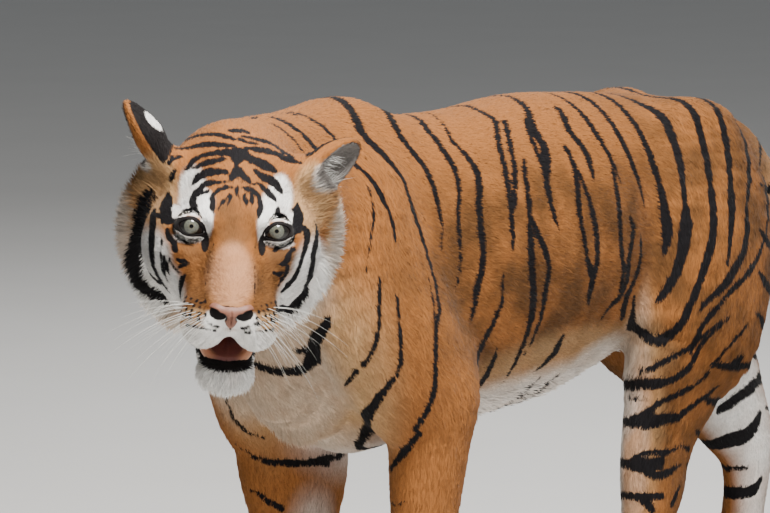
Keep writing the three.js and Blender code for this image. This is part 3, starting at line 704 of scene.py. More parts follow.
def rays(view, points):
    """Where the line of sight through each point of a view starts, and its way."""
    a, b = points.T
    zero = np.zeros(len(a))
    if view == "girth":
        out = np.stack([zero, np.sin(np.radians(b)), np.cos(np.radians(b))], axis=1)
        start = np.stack([a, zero, zero + TRUNK_AXIS], axis=1) + GIRTH_START * out
        return start, -out
    if view in PILLARS:
        x, y = PILLARS[view]
        out = np.stack([np.cos(np.radians(a)), np.sin(np.radians(a)), zero], axis=1)
        return np.stack([zero + x, zero + y, b], axis=1) + PILLAR_START * out, -out
    if view == "mask":
        start = place(np.stack([zero + MASK_START, a, b], axis=1), MASK)
        return start, np.tile(-np.array(MASK.col[0][:3]), (len(a), 1))
    if view in ENDS:
        start_x = ENDS[view]
        return np.stack([zero + start_x, a, b], axis=1), np.tile((-np.sign(start_x), 0, 0), (len(a), 1))
    start_y, way = SIDES[view]
    return np.stack([a, zero + start_y, b], axis=1), np.tile((0.0, way, 0), (len(a), 1))


def drape(stripes, steps=5):
    """The line of each (view, stripe) on the coat, with its half-widths."""
    fine = [refine(rows, steps) for _, rows in stripes]
    sight = [rays(view, rows[:, :2]) for (view, _), rows in zip(stripes, fine)]
    p, way = (np.concatenate(parts) for parts in zip(*sight))
    for _ in range(MARCH):
        p = p + way * np.minimum(coat_form(p), MARCH_MOST)[:, None] * MARCH_SHARE
    _, away = slope(coat_form, p)
    straight = np.clip(np.abs(np.sum(unit(away) * way, axis=1)), LEAST_FACING, 1)
    ends = np.cumsum([len(rows) for rows in fine])[:-1]
    lines = []
    for (view, _), rows, line, share in zip(stripes, fine, np.split(p, ends), np.split(straight, ends)):
        growth = FACE_GROWTH / share if view == "mask" else STRIPE_GROWTH
        lines.append((line, rows[:, 2] * growth))
    return lines


def marks_at(p, normal, lines):
    """Signed distance to the nearest stripe, measured along the skin: below 0 inside it."""
    best = np.full(len(p), FARTHEST)
    for line, widths in lines:
        reach = widths.max() + FARTHEST
        box = np.all((p > line.min(axis=0) - reach) & (p < line.max(axis=0) + reach), axis=1)
        near = np.flatnonzero(box)
        if not len(near):
            continue
        q, n = p[near], normal[near]
        nearest = np.full(len(q), FARTHEST)
        for a, b, wide, next_wide in zip(line, line[1:], widths, widths[1:]):
            span = b - a
            t = np.clip((q - a) @ span / max(span @ span, 1e-9), 0, 1)
            off = q - a - t[:, None] * span
            deep = np.sum(off * n, axis=1)
            flat = np.sqrt(np.maximum(np.sum(off * off, axis=1) - deep * deep, 0))
            away = flat - wide - (next_wide - wide) * t
            nearest = np.minimum(nearest, away + np.maximum(np.abs(deep) - MARK_DEPTH, 0))
        best[near] = np.minimum(best[near], nearest)
    return best


STRIPES = {  # by view, as rows of (across, up, half-width) in millimetres; turns are in degrees
    "girth": [
        # back and flank, from the shoulder to the hip
        [(324, 0, 7), (345, 12, 7), (367, 24, 7), (351, 34, 6), (330, 43, 5), (320, 57, 5), (305, 76, 4),
         (300, 93, 4)],
        [(225, 0, 8), (271, 17, 8), (280, 25, 7), (269, 32, 6), (257, 39, 6), (254, 49, 5), (255, 58, 4),
         (256, 67, 2.5), (265, 76, 1)],
        [(165, 0, 3), (175, 9, 4), (192, 19, 5), (194, 24, 5), (197, 30, 5), (196, 38, 5), (202, 48, 4),
         (217, 59, 3.5), (223, 71, 3), (226, 83, 2.5), (230, 90, 2), (239, 99, 1)],
        [(120, 0, 2), (140, 12, 2), (164, 25, 3), (162, 29, 4), (158, 36, 5), (156, 43, 5.5), (168, 52, 5),
         (179, 61, 5), (184, 72, 5), (184, 80, 5), (191, 90, 5), (200, 101, 4), (203, 110, 3),
         (212, 118, 1)],
        [(30, 0, 4), (37, 6, 4), (40, 12, 4), (42, 18, 4), (65, 26, 4), (82, 33, 4.5), (98, 44, 4.5),
         (110, 55, 4.5), (120, 68, 4), (124, 77, 3), (127, 83, 0.8)],
        [(27, 20, 4), (55, 31, 4), (72, 41, 4), (90, 51, 4), (110, 62, 4)],
        [(47, 40, 3), (64, 49, 4), (75, 61, 5), (83, 71, 5), (89, 85, 6), (87, 98, 6), (82, 110, 6),
         (82, 120, 5), (86, 132, 4), (90, 147, 1.5)],
        [(78, 64, 2), (70, 75, 4), (59, 84, 5), (52, 93, 5), (58, 104, 5), (60, 116, 4), (65, 125, 3),
         (72, 133, 1)],
        [(-60, 0, 3), (-42, 14, 5), (-25, 21, 5), (-10, 27, 7), (-7, 35, 7), (6, 43, 7), (23, 52, 6),
         (29, 61, 5), (27, 71, 3), (21, 77, 1)],
        [(-14, 21, 3.5), (6, 30, 3.5), (17, 41, 3.5), (20, 49, 3.5)],
        [(-99, 17, 3), (-95, 22, 5), (-79, 31, 6), (-87, 41, 6), (-84, 49, 5), (-77, 57, 1)],
        [(-50, 38, 4), (-47, 49, 5), (-36, 59, 5), (-29, 70, 5), (-33, 82, 4), (-40, 93, 4), (-48, 99, 5)],
        [(-54, 50, 3), (-57, 62, 4), (-59, 69, 5), (-61, 77, 5), (-62, 86, 5), (-61, 94, 5), (-54, 101, 6),
         (-50, 107, 5), (-51, 114, 2)],
        [(148, 92, 1.5), (151, 97, 2), (150, 106, 3), (160, 115, 4), (172, 123, 4.5), (184, 133, 4.5),
         (200, 141, 2)],
        [(142, 128, 1.5), (140, 134, 4), (142, 142, 6), (150, 149, 5), (162, 155, 2)],
        [(-5, 148, 2), (0, 156, 5), (8, 166, 7), (20, 176, 5)],
        [(-60, 150, 2), (-45, 160, 6), (-35, 172, 6), (-30, 178, 4)],
        [(-8, 126, 1), (-5, 131, 6), (-2, 136, 7), (20, 143, 3)],
        [(-138, 45, 2), (-131, 57, 4), (-128, 64, 5), (-123, 81, 5), (-125, 91, 5), (-134, 101, 5),
         (-132, 110, 4)],
        [(-155, 74, 3), (-162, 80, 6), (-157, 87, 6), (-148, 95, 5), (-149, 104, 5), (-138, 113, 5),
         (-112, 118, 4), (-97, 123, 2)],
        [(-188, 84, 2), (-189, 93, 4), (-184, 101, 5), (-173, 108, 6), (-160, 114, 7), (-157, 121, 8),
         (-165, 127, 5)],
        [(-245, 68, 5), (-243, 77, 7), (-241, 87, 6), (-233, 96, 2)],
        [(-279, 71, 3), (-274, 80, 8), (-266, 90, 8), (-256, 100, 7), (-244, 108, 6), (-231, 115, 5),
         (-220, 120, 2)],
        [(-335, 63, 4), (-328, 74, 6), (-316, 88, 6.5), (-300, 99, 6), (-286, 108, 5.5), (-270, 117, 5.5),
         (-254, 126, 6), (-240, 132, 6.5), (-222, 136, 6.5), (-206, 136, 6), (-196, 131, 5), (-190, 124, 4),
         (-184, 117, 3)],
        [(-379, 65, 5), (-368, 77, 7), (-355, 88, 5), (-340, 101, 2)],
        [(-405, 79, 3), (-398, 88, 6), (-383, 97, 6), (-356, 104, 7), (-329, 110, 6), (-295, 116, 4),
         (-280, 121, 1)],
        [(-460, 92, 3), (-430, 100, 4), (-397, 106, 5), (-354, 111, 4), (-321, 117, 4), (-291, 124, 4),
         (-278, 133, 3)],
        # croup, hidden in the pose's usual view: made from the species
        [(-150, 0, 3), (-142, 18, 5), (-136, 32, 6), (-140, 46, 4), (-146, 58, 1)],
        [(-205, 0, 4), (-196, 20, 5), (-190, 38, 6), (-196, 56, 5), (-205, 70, 2)],
        [(-262, 0, 4), (-252, 22, 6), (-246, 42, 6), (-245, 58, 5), (-245, 68, 5)],
        [(-320, 0, 4), (-308, 24, 6), (-296, 48, 6), (-284, 62, 4), (-279, 71, 3)],
        [(-378, 0, 4), (-366, 24, 6), (-350, 46, 6), (-335, 63, 5)],
        [(-432, 0, 4), (-420, 26, 6), (-400, 48, 6), (-379, 65, 5)],
        [(-486, 0, 4), (-474, 30, 5), (-448, 56, 6), (-405, 79, 3)],
        [(-530, 20, 3), (-515, 50, 5), (-490, 76, 5), (-460, 92, 3)],
        # shoulder and chest
        [(416, 39, 2.5), (399, 44, 4), (390, 52, 4), (382, 58, 3), (380, 67, 2), (388, 75, 1)],
        [(412, 46, 1.5), (413, 53, 2), (420, 60, 2), (434, 70, 1.5), (447, 83, 1)],
        # neck
        [(562, 22, 5), (550, 28, 7), (540, 33, 8), (528, 38, 7), (512, 45, 5)],
        [(475, 13, 5), (465, 18, 7), (455, 22, 6), (435, 31, 5), (420, 38, 4)],
        [(515, 8, 6), (500, 12, 7), (488, 16, 4)],
        [(600, 28, 4), (592, 33, 5), (585, 38, 4), (575, 44, 2)],
        [(612, 22, 5), (595, 20, 4)],
        [(540, -4, 3), (528, -22, 6), (522, -44, 6), (524, -62, 2)],
        [(490, -6, 3), (478, -22, 6), (470, -44, 6), (472, -70, 4), (478, -88, 1)],
        [(436, -10, 3), (424, -28, 6), (418, -50, 6), (420, -72, 4), (428, -90, 1)],
        [(585, -20, 2), (576, -38, 4), (575, -54, 2)],
    ],
    "left": [
        # back and flank, from the shoulder to the hip
        [(303, 612, 4), (311, 577, 4), (328, 553, 4), (330, 508, 4), (329, 470, 4.5), (335, 445, 4.5),
         (341, 428, 4.5), (347, 412, 4)],
        [(318, 625, 1), (322, 590, 2), (330, 560, 2)],
        # shoulder and chest
        [(396, 604, 1.5), (395, 558, 2.5), (392, 515, 3.5), (394, 505, 3.5)],
        [(425, 632, 2), (428, 598, 2.5), (430, 563, 3), (436, 535, 3.5), (445, 512, 3.5)],
        # left thigh and hock
        [(-214, 428, 3.5), (-226, 435, 4), (-240, 444, 4), (-255, 452, 3.5), (-277, 462, 3.5),
         (-291, 475, 3), (-308, 486, 2.5), (-328, 498, 2)],
        [(-214, 410, 5), (-227, 408, 5), (-238, 410, 5), (-258, 418, 5), (-276, 430, 4.5), (-285, 446, 3.5),
         (-297, 468, 3), (-320, 487, 2.5), (-347, 502, 2)],
        [(-212, 386, 3), (-225, 388, 1)],
        [(-213, 354, 8), (-220, 360, 8), (-228, 371, 5), (-237, 381, 4), (-254, 388, 4), (-278, 397, 4),
         (-297, 404, 3), (-313, 415, 3), (-327, 433, 3), (-346, 452, 3), (-377, 472, 3), (-402, 487, 2)],
        [(-213, 354, 8), (-226, 353, 9), (-245, 356, 8), (-269, 357, 6), (-285, 366, 5), (-310, 377, 4),
         (-342, 388, 3), (-356, 395, 1.5)],
        [(-210, 297, 5), (-218, 305, 4), (-230, 309, 3.5), (-243, 306, 3.5), (-263, 307, 3.5),
         (-285, 311, 3), (-310, 303, 3)],
        [(-210, 286, 5), (-217, 284, 5), (-228, 276, 5), (-242, 272, 5.5), (-268, 277, 4.5),
         (-292, 283, 2)],
        [(-212, 242, 2), (-218, 239, 5), (-228, 230, 5), (-236, 221, 4)],
        [(-297, 255, 2), (-285, 240, 4), (-276, 225, 5)],
        [(-372, 428, 4), (-392, 432, 7)],
        [(-430, 560, 3), (-455, 540, 6), (-480, 528, 6), (-505, 522, 3)],
        [(-440, 620, 3), (-470, 598, 6), (-500, 585, 5), (-520, 582, 2)],
        [(-480, 470, 3), (-462, 478, 6), (-440, 492, 4), (-420, 500, 1)],
        [(-240, 170, 1), (-252, 172, 4), (-268, 178, 4), (-284, 190, 2)],
        # lower left legs, made from the species
        [(318, 232, 1), (306, 226, 4), (286, 228, 3), (268, 236, 1)],
    ],
    "front": [
        # back and flank, from the shoulder to the hip
        [(169, 403, 4.5), (161, 394, 4.5), (134, 372, 4.5), (104, 349, 3)],
        # inside of the right hind leg
        [(-130, 366, 1), (-110, 354, 2), (-92, 346, 3), (-76, 341, 4), (-58, 338, 4.5), (-42, 337, 4)],
        # forelegs and chest, from the front
        [(178, 495, 3), (170, 480, 4.5), (160, 465, 5.5), (146, 448, 6.5), (124, 430, 8), (98, 412, 8),
         (70, 392, 8), (48, 374, 6), (36, 362, 3)],
        [(150, 503, 3), (135, 488, 3), (117, 474, 1.5)],
        [(98, 300, 1.5), (115, 298, 1.5), (135, 306, 1)],
        [(-112, 300, 1.5), (-101, 296, 2.5), (-93, 289, 3.5), (-84, 281, 4), (-77, 275, 4)],
        [(-103, 447, 1.5), (-108, 415, 2.5), (-103, 397, 2.5), (-96, 385, 2), (-85, 378, 1)],
    ],
    "inner": [
        # inside of the right hind leg
        [(-775, 348, 6), (-735, 333, 8), (-695, 321, 8), (-672, 311, 8), (-655, 303, 6)],
        [(-752, 287, 5), (-737, 270, 9), (-718, 256, 11), (-690, 251, 12), (-672, 242, 11), (-650, 237, 9)],
        [(-757, 183, 5), (-740, 169, 7), (-710, 163, 8), (-690, 167, 8), (-675, 178, 5)],
        [(345, 343, 3.5), (315, 338, 4), (285, 335, 4), (262, 330, 2.5)],
    ],
    "hind left": [
        # round the front of the hind legs
        [(35, 412, 6), (5, 408, 7), (-25, 402, 5), (-50, 395, 2)],
        [(35, 354, 7), (5, 352, 7), (-20, 350, 5), (-50, 352, 2)],
        [(32, 291, 8), (5, 290, 7), (-20, 290, 5), (-50, 292, 2)],
        [(35, 241, 4), (5, 242, 5), (-20, 240, 4), (-50, 238, 2)],
        # backs of the hind legs, made from the species
        [(104, 432, 2), (130, 424, 5), (165, 415, 5), (205, 418, 2)],
        [(110, 378, 2), (135, 370, 5), (165, 364, 5), (205, 370, 2)],
        [(112, 330, 2), (140, 322, 4), (170, 318, 5), (210, 324, 2)],
        [(112, 280, 2), (140, 274, 4), (170, 272, 4), (210, 278, 2)],
        [(112, 236, 2), (140, 231, 4), (170, 230, 4), (205, 234, 2)],
        [(60, 190, 2), (20, 186, 4), (-30, 188, 3)],
    ],
    "rear": [
        # backs of the hind legs, made from the species
        [(166, 690, 1), (145, 676, 4), (108, 664, 4)],
        [(168, 618, 1), (148, 606, 4), (112, 596, 4)],
        [(164, 552, 1), (144, 542, 4), (106, 536, 4)],
        [(156, 484, 1), (138, 476, 4), (98, 470, 3)],
        [(-162, 682, 1), (-135, 668, 5), (-84, 655, 5), (-40, 655, 2)],
        [(-162, 614, 1), (-135, 600, 5), (-84, 590, 5), (-34, 592, 2)],
        [(-158, 548, 1), (-130, 538, 5), (-84, 530, 5), (-32, 534, 2)],
        [(-152, 486, 1), (-126, 478, 5), (-80, 472, 5), (-34, 478, 2)],
        [(-140, 430, 1), (-118, 424, 5), (-78, 420, 5), (-40, 426, 2)],
        [(-146, 384, 2), (-112, 376, 5), (-74, 374, 5), (-44, 380, 2)],
        [(-128, 336, 2), (-104, 330, 4), (-72, 330, 4), (-48, 336, 2)],
        [(-116, 292, 2), (-96, 288, 4), (-66, 288, 4), (-48, 294, 2)],
        [(-110, 250, 2), (-92, 247, 4), (-66, 248, 3)],
    ],
    "hind right": [
        # backs of the hind legs, made from the species
        [(-60, 205, 2), (-20, 200, 4), (30, 202, 3)],
        [(-70, 250, 2), (-30, 246, 5), (20, 248, 3)],
    ],
    "inner left": [
        # lower left legs, made from the species
        [(245, 352, 1), (268, 346, 4), (300, 344, 5), (330, 350, 2)],
        [(252, 262, 1), (272, 256, 4), (298, 254, 5), (322, 260, 2)],
    ],
    "mask": [  # the face, whose two sides differ
        [(-4, 117, 2), (-17, 120, 3), (-30, 122.5, 3), (-50, 120.5, 3), (-68, 114, 2)],
        [(-4, 107, 2), (-20, 108, 3.5), (-37, 108, 4), (-53, 106.5, 4), (-63, 103.5, 3.5), (-80, 100.5, 2)],
        [(-14, 98.5, 5), (-38, 94.5, 3), (-53, 89, 3), (-61.5, 80.5, 3.5), (-68, 71, 1.5)],
        [(-16, 89, 2), (-30, 85.5, 3.5), (-43.5, 81.5, 3.5), (-53, 77, 2.5), (-61, 74, 1)],
        [(-14, 71, 2.5), (-30, 71, 4.5), (-43.5, 67.5, 5), (-53, 61.5, 4.5), (-59, 53.5, 2)],
        [(-23, 57.5, 2), (-34, 56, 3.5), (-43.5, 53, 4), (-50, 47, 4), (-56, 40, 4.5), (-58.5, 31.5, 4),
         (-56.5, 23.5, 3), (-52, 17, 2), (-48, 12, 0.8)],
        [(-52, 40, 3), (-41, 44, 2.5)],
        [(-16, 58.5, 1.5), (-6, 60, 1)],
        [(-7, 51, 2), (-14, 50.5, 3), (-24, 46.5, 2.5), (-30.5, 40.5, 2.5), (-32.5, 33, 3),
         (-30.5, 23.5, 3), (-28.5, 14.5, 1)],
        [(-9.5, 42, 1.2), (-16, 32.5, 2), (-21, 24, 1.2), (-23.5, 19, 0.3)],
        [(-6, 39.5, 1), (-9, 30, 0.8), (-11, 24, 0)],
        [(-91, 44.5, 0.8), (-92, 34.5, 4), (-92, 23, 6.5), (-92, 13, 5), (-91, 5, 5), (-84, 2, 3.5)],
        [(-71, 90, 1.5), (-82, 86, 3), (-89.5, 77.5, 2)],
        [(-81, 68, 3), (-88, 58, 3.5), (-90, 52, 1)],
        [(-72, 18, 0.8), (-62.5, 15.8, 2.3), (-55, 14.5, 0.8)],
        [(-116, 40, 4), (-125, 27, 5), (-129, 9, 6.5), (-130.5, -12.5, 6.5), (-132, -34, 7),
         (-133.5, -52, 7.5), (-133, -69, 9), (-128.5, -82, 9), (-121.5, -90, 8), (-110.5, -98, 6),
         (-97, -103, 4), (-84, -110, 4), (-77, -113, 2)],
        [(-109.5, 12.5, 4), (-109, -3, 5), (-109.5, -22, 5), (-109, -42, 4.5), (-106, -59, 4),
         (-100, -72, 3), (-93.5, -82, 2.5), (-86.5, -90.5, 2), (-81, -97, 1)],
        [(-105, 9.5, 2), (-95, 7.5, 3)],
        [(-120, -54, 2), (-111, -68, 3), (-100, -80.5, 3), (-91.5, -84, 2)],
        [(-97.5, -17.5, 0.8), (-96, -28, 1.3), (-97, -45.5, 1), (-92, -67, 2), (-86, -82, 0.8)],
        [(-90, -8.5, 1.5), (-86.5, -19, 3), (-81, -25.5, 3), (-77.5, -34, 4), (-75, -39, 1.5)],
        [(-91, -47.5, 2.5), (-90, -58, 3), (-84, -71, 1)],
        [(-84.5, -49, 1), (-79, -60, 1.5), (-72, -66, 1.5)],
        [(-74.5, -49, 1.5), (-68, -50.5, 2.5), (-58, -51, 0.5)],
        [(-72, -59.5, 1), (-63.5, -56, 2.2), (-56, -52, 0.3)],
        [(-63, -69, 2), (-67, -79, 3.3), (-69, -87.5, 2), (-69.5, -100.5, 0.8)],
        [(-28, -25, 0.4), (-32.5, -44.5, 0.5), (-35, -64, 0.2), (-36.5, -83.5, 0.3), (-36, -103, 0.8)],
        [(2.5, 118, 2), (12, 114.5, 2.5), (30, 112, 1.5)],
        [(9, 122, 2), (27, 119, 3), (48, 114.5, 3.5), (68, 103.5, 3.5), (75, 98, 1.5)],
        [(12, 106, 1.5), (25, 104.5, 3.5), (43, 103.5, 4), (58, 100, 4), (72, 94, 4), (85, 90.5, 1.5)],
        [(-9, 98, 5.5), (0.5, 99, 6.5), (10, 98.5, 5.5)],
        [(0.5, 96, 6), (0.5, 92, 6), (0, 85, 3), (-0.5, 77.5, 2.5), (-3, 72.5, 4), (-6, 65.5, 4),
         (-6, 62, 1)],
        [(0, 80, 2.5), (5, 73, 3.5), (9.5, 66.5, 4), (14.5, 63.5, 4), (17.5, 60, 1.5)],
        [(2, 67.5, 0.8), (1.5, 53, 0.8), (0.5, 49.5, 1.8), (0, 44, 1.5), (0, 40, 0.3)],
        [(13.5, 93, 5), (28, 87.5, 6), (40, 84, 6), (49.5, 79.5, 4), (55, 77, 1)],
        [(23.5, 76.5, 1.5), (33.5, 69.5, 4), (43, 65, 5), (53, 61, 5.5), (61, 53, 4), (64.5, 49, 1)],
        [(30, 59, 1.5), (37, 53.5, 3.5), (43.5, 49, 4.5), (50, 43.5, 4), (56, 35.5, 1)],
        [(7, 58.5, 0.6), (17, 58.5, 0.4), (28, 57, 0.2)],
        [(8.5, 52, 1.8), (18, 50.5, 3), (26.5, 46.5, 3.5), (30.5, 40, 2.5), (33, 30, 3), (32, 22, 3.5),
         (30.5, 12, 0.8)],
        [(10, 42, 2.3), (13, 34, 2.3), (14.5, 28, 0.5)],
        [(18, 47.5, 1.5), (21.5, 39.5, 2.5), (22, 34.5, 2), (20, 26, 0.6)],
        [(3.5, 42, 0.8), (5, 33, 0.7), (6, 26, 0)],
        [(86, 37.5, 0.8), (86, 26.5, 4.5), (87, 18.5, 5.5), (85.5, 10, 4.5), (84.5, 2, 5), (80, -2.5, 3.5)],
        [(82, 58, 0.6), (85, 44.5, 0.8)],
        [(60, 28.5, 1.8), (57.5, 22, 2.3), (52, 13.5, 0.8)],
        [(69, 18.5, 2.8), (61, 14, 2.3), (55, 11, 0.8)],
        [(114, 15, 2.5), (115, 1, 4), (114, -16.5, 4.5), (111, -32, 5.5), (110, -52, 7), (107, -70, 7.5),
         (103, -85.5, 8), (99, -97, 8), (92, -106, 7), (82, -111, 5), (70, -109.5, 4), (62, -109.5, 2)],
        [(91, 5.5, 2), (99, 0, 4), (100, -8.5, 4), (98, -21.5, 3), (95, -33, 2.5), (92, -48.5, 2.5),
         (88, -60, 3), (81, -71, 3), (75, -78, 3), (68.5, -85, 1)],
        [(83, -25, 1.8), (76.5, -29.5, 2.5), (73, -39, 4), (69, -45.5, 3), (61.5, -48.5, 0.8)],
        [(74, -49.5, 1.8), (72, -58.5, 3), (69, -65, 1)],
        [(66.5, -59, 1.8), (60, -61.5, 2), (53.5, -58.5, 0.6)],
        [(67, -67.5, 2.2), (64, -76.5, 0.8)],
        [(30.5, -20, 0.3), (29.5, -42, 0.3), (30.5, -64, 0.1), (30.5, -86, 0.3), (30.5, -99, 0.7)],
        [(150, -119, 3), (146, -131, 6), (138, -143, 6), (132, -153, 6), (132, -168, 6), (134, -180, 6.5),
         (127, -192, 6.5), (113, -197, 6.5), (98, -198, 5), (86, -196, 3)],
        [(108, -171, 1), (118, -170, 3), (127, -169.5, 4), (134, -172, 4)],
        [(48, -190, 3.5), (70, -196, 4.5), (86, -201, 4), (104, -201, 3)],
        [(0, -131, 0.6), (0, -141, 0.8)],
        [(-6, 129, 4), (5, 130, 5), (13, 128, 3)],
        [(-80, 2, 1.5), (-80.5, -8, 1.2), (-75, -17, 1), (-65, -25, 0.9), (-54, -29.5, 0.3)],
        [(79, -3, 2.5), (77, -13, 2), (69, -22, 1), (58, -28, 0.8), (48, -31, 0.2)],
    ],
}
# How far the right hind leg stands behind the left at each height.
LEG_HEIGHTS = (0.18, 0.26, 0.36, 0.51, 0.60, 0.68, 0.76)
LEG_BEHIND = (0.50, 0.475, 0.39, 0.185, 0.09, 0.03, 0)
# Rows of dark spots on the whisker pads: (from, to) across, (height within, height without), count.
PAD_ROWS = [
    (0.040, 0.060, -0.103, -0.097, 4),
    (0.036, 0.062, -0.111, -0.104, 5),
    (0.034, 0.064, -0.119, -0.111, 6),
    (0.030, 0.066, -0.127, -0.117, 7),
    (0.015, 0.063, -0.1345, -0.1215, 12),
    (0.020, 0.057, -0.140, -0.134, 9),
]
PAD_DOT = 0.0013  # half-width of a spot
PAD_DASH = 0.0012  # and its length
# Rings of the tail: (how far along it, half-width), in metres.
TAIL_RINGS = [(0.10, 0.006), (0.17, 0.007), (0.24, 0.008), (0.31, 0.009), (0.38, 0.010), (0.45, 0.011),
              (0.52, 0.012), (0.59, 0.013), (0.67, 0.015), (0.75, 0.017), (0.84, 0.020), (0.97, 0.060)]
MIRRORED = 400  # girth rows that start before this x, in millimetres, show on the right side too
UPRIGHT = 25  # degrees from the spine at which a row has wandered in full
RIGHT_SHIFT = (9, 3)  # how far the right side's stripes wander from the left's: millimetres, degrees
TAIL_PALE = 0.55
TAIL_FROM = -0.55  # the tail is behind this x, below TAIL_UNDER and within TAIL_NEAR of its tube
TAIL_UNDER = 0.76
TAIL_NEAR = 0.02
tail_line = refine(TAIL, 6)[:, :3]
tail_far = np.concatenate([[0], np.cumsum(np.linalg.norm(np.diff(tail_line, axis=0), axis=1))])


def pad_spots(side):
    """The spots of one whisker pad, in the mask's frame."""
    rows = []
    for start, end, low, high, count in PAD_ROWS:
        across = np.linspace(start, end, count) * side
        rows.append(np.stack([across, np.linspace(low, high, count)], axis=1))
    return np.concatenate(rows)


def stripe_lines():
    """Every stripe on the skin: the left's, then those of the right, near enough mirrored."""
    rng = np.random.default_rng(SEED)
    stripes = []
    for view, rows in ((view, np.array(rows, float)) for view, group in STRIPES.items() for rows in group):
        scale = np.array((1 if view in PILLARS else 0.001, 1 if view == "girth" else 0.001, 0.001))
        stripes.append((view, rows * scale))
        if view == "left":
            other = rows * scale
            other[:, 0] -= (rows[0, 0] < 0) * np.interp(other[:, 1], LEG_HEIGHTS, LEG_BEHIND)
            stripes.append(("right", other))
        if view == "girth" and rows[0, 0] < MIRRORED:
            shift = np.append(rng.normal(size=2) * RIGHT_SHIFT, 0)
            other = rows + np.minimum(rows[:, 1:2] / UPRIGHT, 1) * shift
            stripes.append((view, other * scale * (1, -1, 1)))
    for side in (1, -1):
        for across, up in pad_spots(side):
            spot = [(across, up, PAD_DOT), (across + side * PAD_DASH, up, PAD_DOT)]
            stripes.append(("mask", np.array(spot)))
    return drape(stripes)


def along_tail(p):
    """Which points are on the tail, and how far along it each is."""
    behind = (p[:, 0] < TAIL_FROM) & (p[:, 2] < TAIL_UNDER)
    near = np.flatnonzero(behind & (TUBES["tail"].form(p) < TAIL_NEAR))
    if not len(near):
        return near, np.zeros(0)
    gap = np.linalg.norm(p[near, None] - tail_line[None], axis=2)
    first = np.clip(np.argmin(gap, axis=1), 1, len(tail_line) - 2)
    way = unit(tail_line[first + 1] - tail_line[first - 1])
    return near, tail_far[first] + np.sum((p[near] - tail_line[first]) * way, axis=1)


def ring_marks(p):
    """Signed distance to the nearest ring of the tail."""
    best = np.full(len(p), FARTHEST)
    near, along = along_tail(p)
    for place_, half in TAIL_RINGS:
        best[near] = np.minimum(best[near], np.abs(along - place_) - half)
    return best


# Places of paler or darker ground, as soft balls: (place, frame, balls, how much).
WHITE_PLACES = [
    # belly: its own white, held below full strength as painted shade on the underside
    ("belly", BODY, [(-0.02, 0, 0.39, 0.37, 0.130, 0.12)], 0.70),
    ("chest", BODY, [(0.47, -0.01, 0.50, 0.11, 0.13, 0.17)], 0.25),
    ("throat", BODY, [(0.66, 0.12, 0.60, 0.15, 0.12, 0.09)], 0.45),
    ("inside of the forelegs", BODY, [(0.31, -0.002, 0.20, 0.14, 0.070, 0.15)], 0.75),
    ("inside of the left hind leg", BODY, [(-0.26, 0.02, 0.30, 0.16, 0.075, 0.26)], 0.9),
    ("inside of the right hind leg", BODY, [(-0.66, 0.02, 0.27, 0.26, 0.085, 0.30)], 0.9),
    ("flank fold", BODY, [(-0.14, 0, 0.45, 0.11, 0.15, 0.06)], 0.5),
    ("feet", BODY, [(-0.2, 0, 0.0, 1.0, 0.4, 0.075)], 0.40),
    # front of the left hind leg: its white mostly held back, as painted shade
    ("front of the left hind leg", BODY, [(-0.205, 0.10, 0.36, 0.026, 0.08, 0.22)], 0.10),
    ("front of the right hind leg", BODY, [(-0.55, -0.09, 0.30, 0.05, 0.08, 0.16)], 0.5),
        ("brow, right", MASK, [
        (0.0, -0.057, 0.046, 0.10, 0.0165, 0.029),
        (0.0, -0.051, 0.027, 0.10, 0.022, 0.020),
        (0.0, -0.037, 0.006, 0.10, 0.0085, 0.028),
    ], 1.0),
    ("brow, left", MASK, [
        (0.0, 0.060, 0.042, 0.10, 0.0165, 0.028),
        (0.0, 0.053, 0.028, 0.10, 0.0205, 0.021),
        (0.0, 0.037, 0.004, 0.10, 0.0080, 0.028),
    ], 1.0),
    ("temples", MASK, [(0.0, s * 0.075, 0.012, 0.10, 0.013, 0.010) for s in (1, -1)], 0.9),
    ("below the eyes", MASK, [(0.02, s * 0.060, -0.0200, 0.06, 0.018, 0.0070) for s in (1, -1)], 1.0),
    ("cheeks", MASK, [(-0.02, s * 0.112, -0.075, 0.14, 0.034, 0.062) for s in (1, -1)], 1.0),
    ("lower cheeks", MASK, [(0.0, s * 0.092, -0.100, 0.14, 0.030, 0.045) for s in (1, -1)], 1.0),
    ("muzzle", MASK, [(0.06, s * 0.028, -0.1480, 0.14, 0.050, 0.0135) for s in (1, -1)], 1.0),
    ("under the whisker pads", MASK, [(0.06, s * 0.042, -0.163, 0.14, 0.045, 0.014) for s in (1, -1)], 1.0),
    ("below the nostrils", MASK, [(0.08, s * 0.018, -0.128, 0.10, 0.020, 0.0105) for s in (1, -1)], 1.0),
    ("beside the nostrils", MASK, [(0.10, s * 0.029, -0.124, 0.10, 0.0055, 0.010) for s in (1, -1)], 0.9),
    ("ruff's edge", MASK, [(-0.05, s * 0.150, -0.045, 0.14, 0.018, 0.10) for s in (1, -1)], 0.45),
    ("chin and jaw", HEAD, [(0.05, 0, -0.180, 0.13, 0.09, 0.040)], 1.0),
]
WHITE_PLACES += [("ear's front edge", matrix, [(0.016, 0, -0.026, 0.012, 0.026, 0.020)], 0.8)
                 for matrix in EAR_FRAMES.values()]
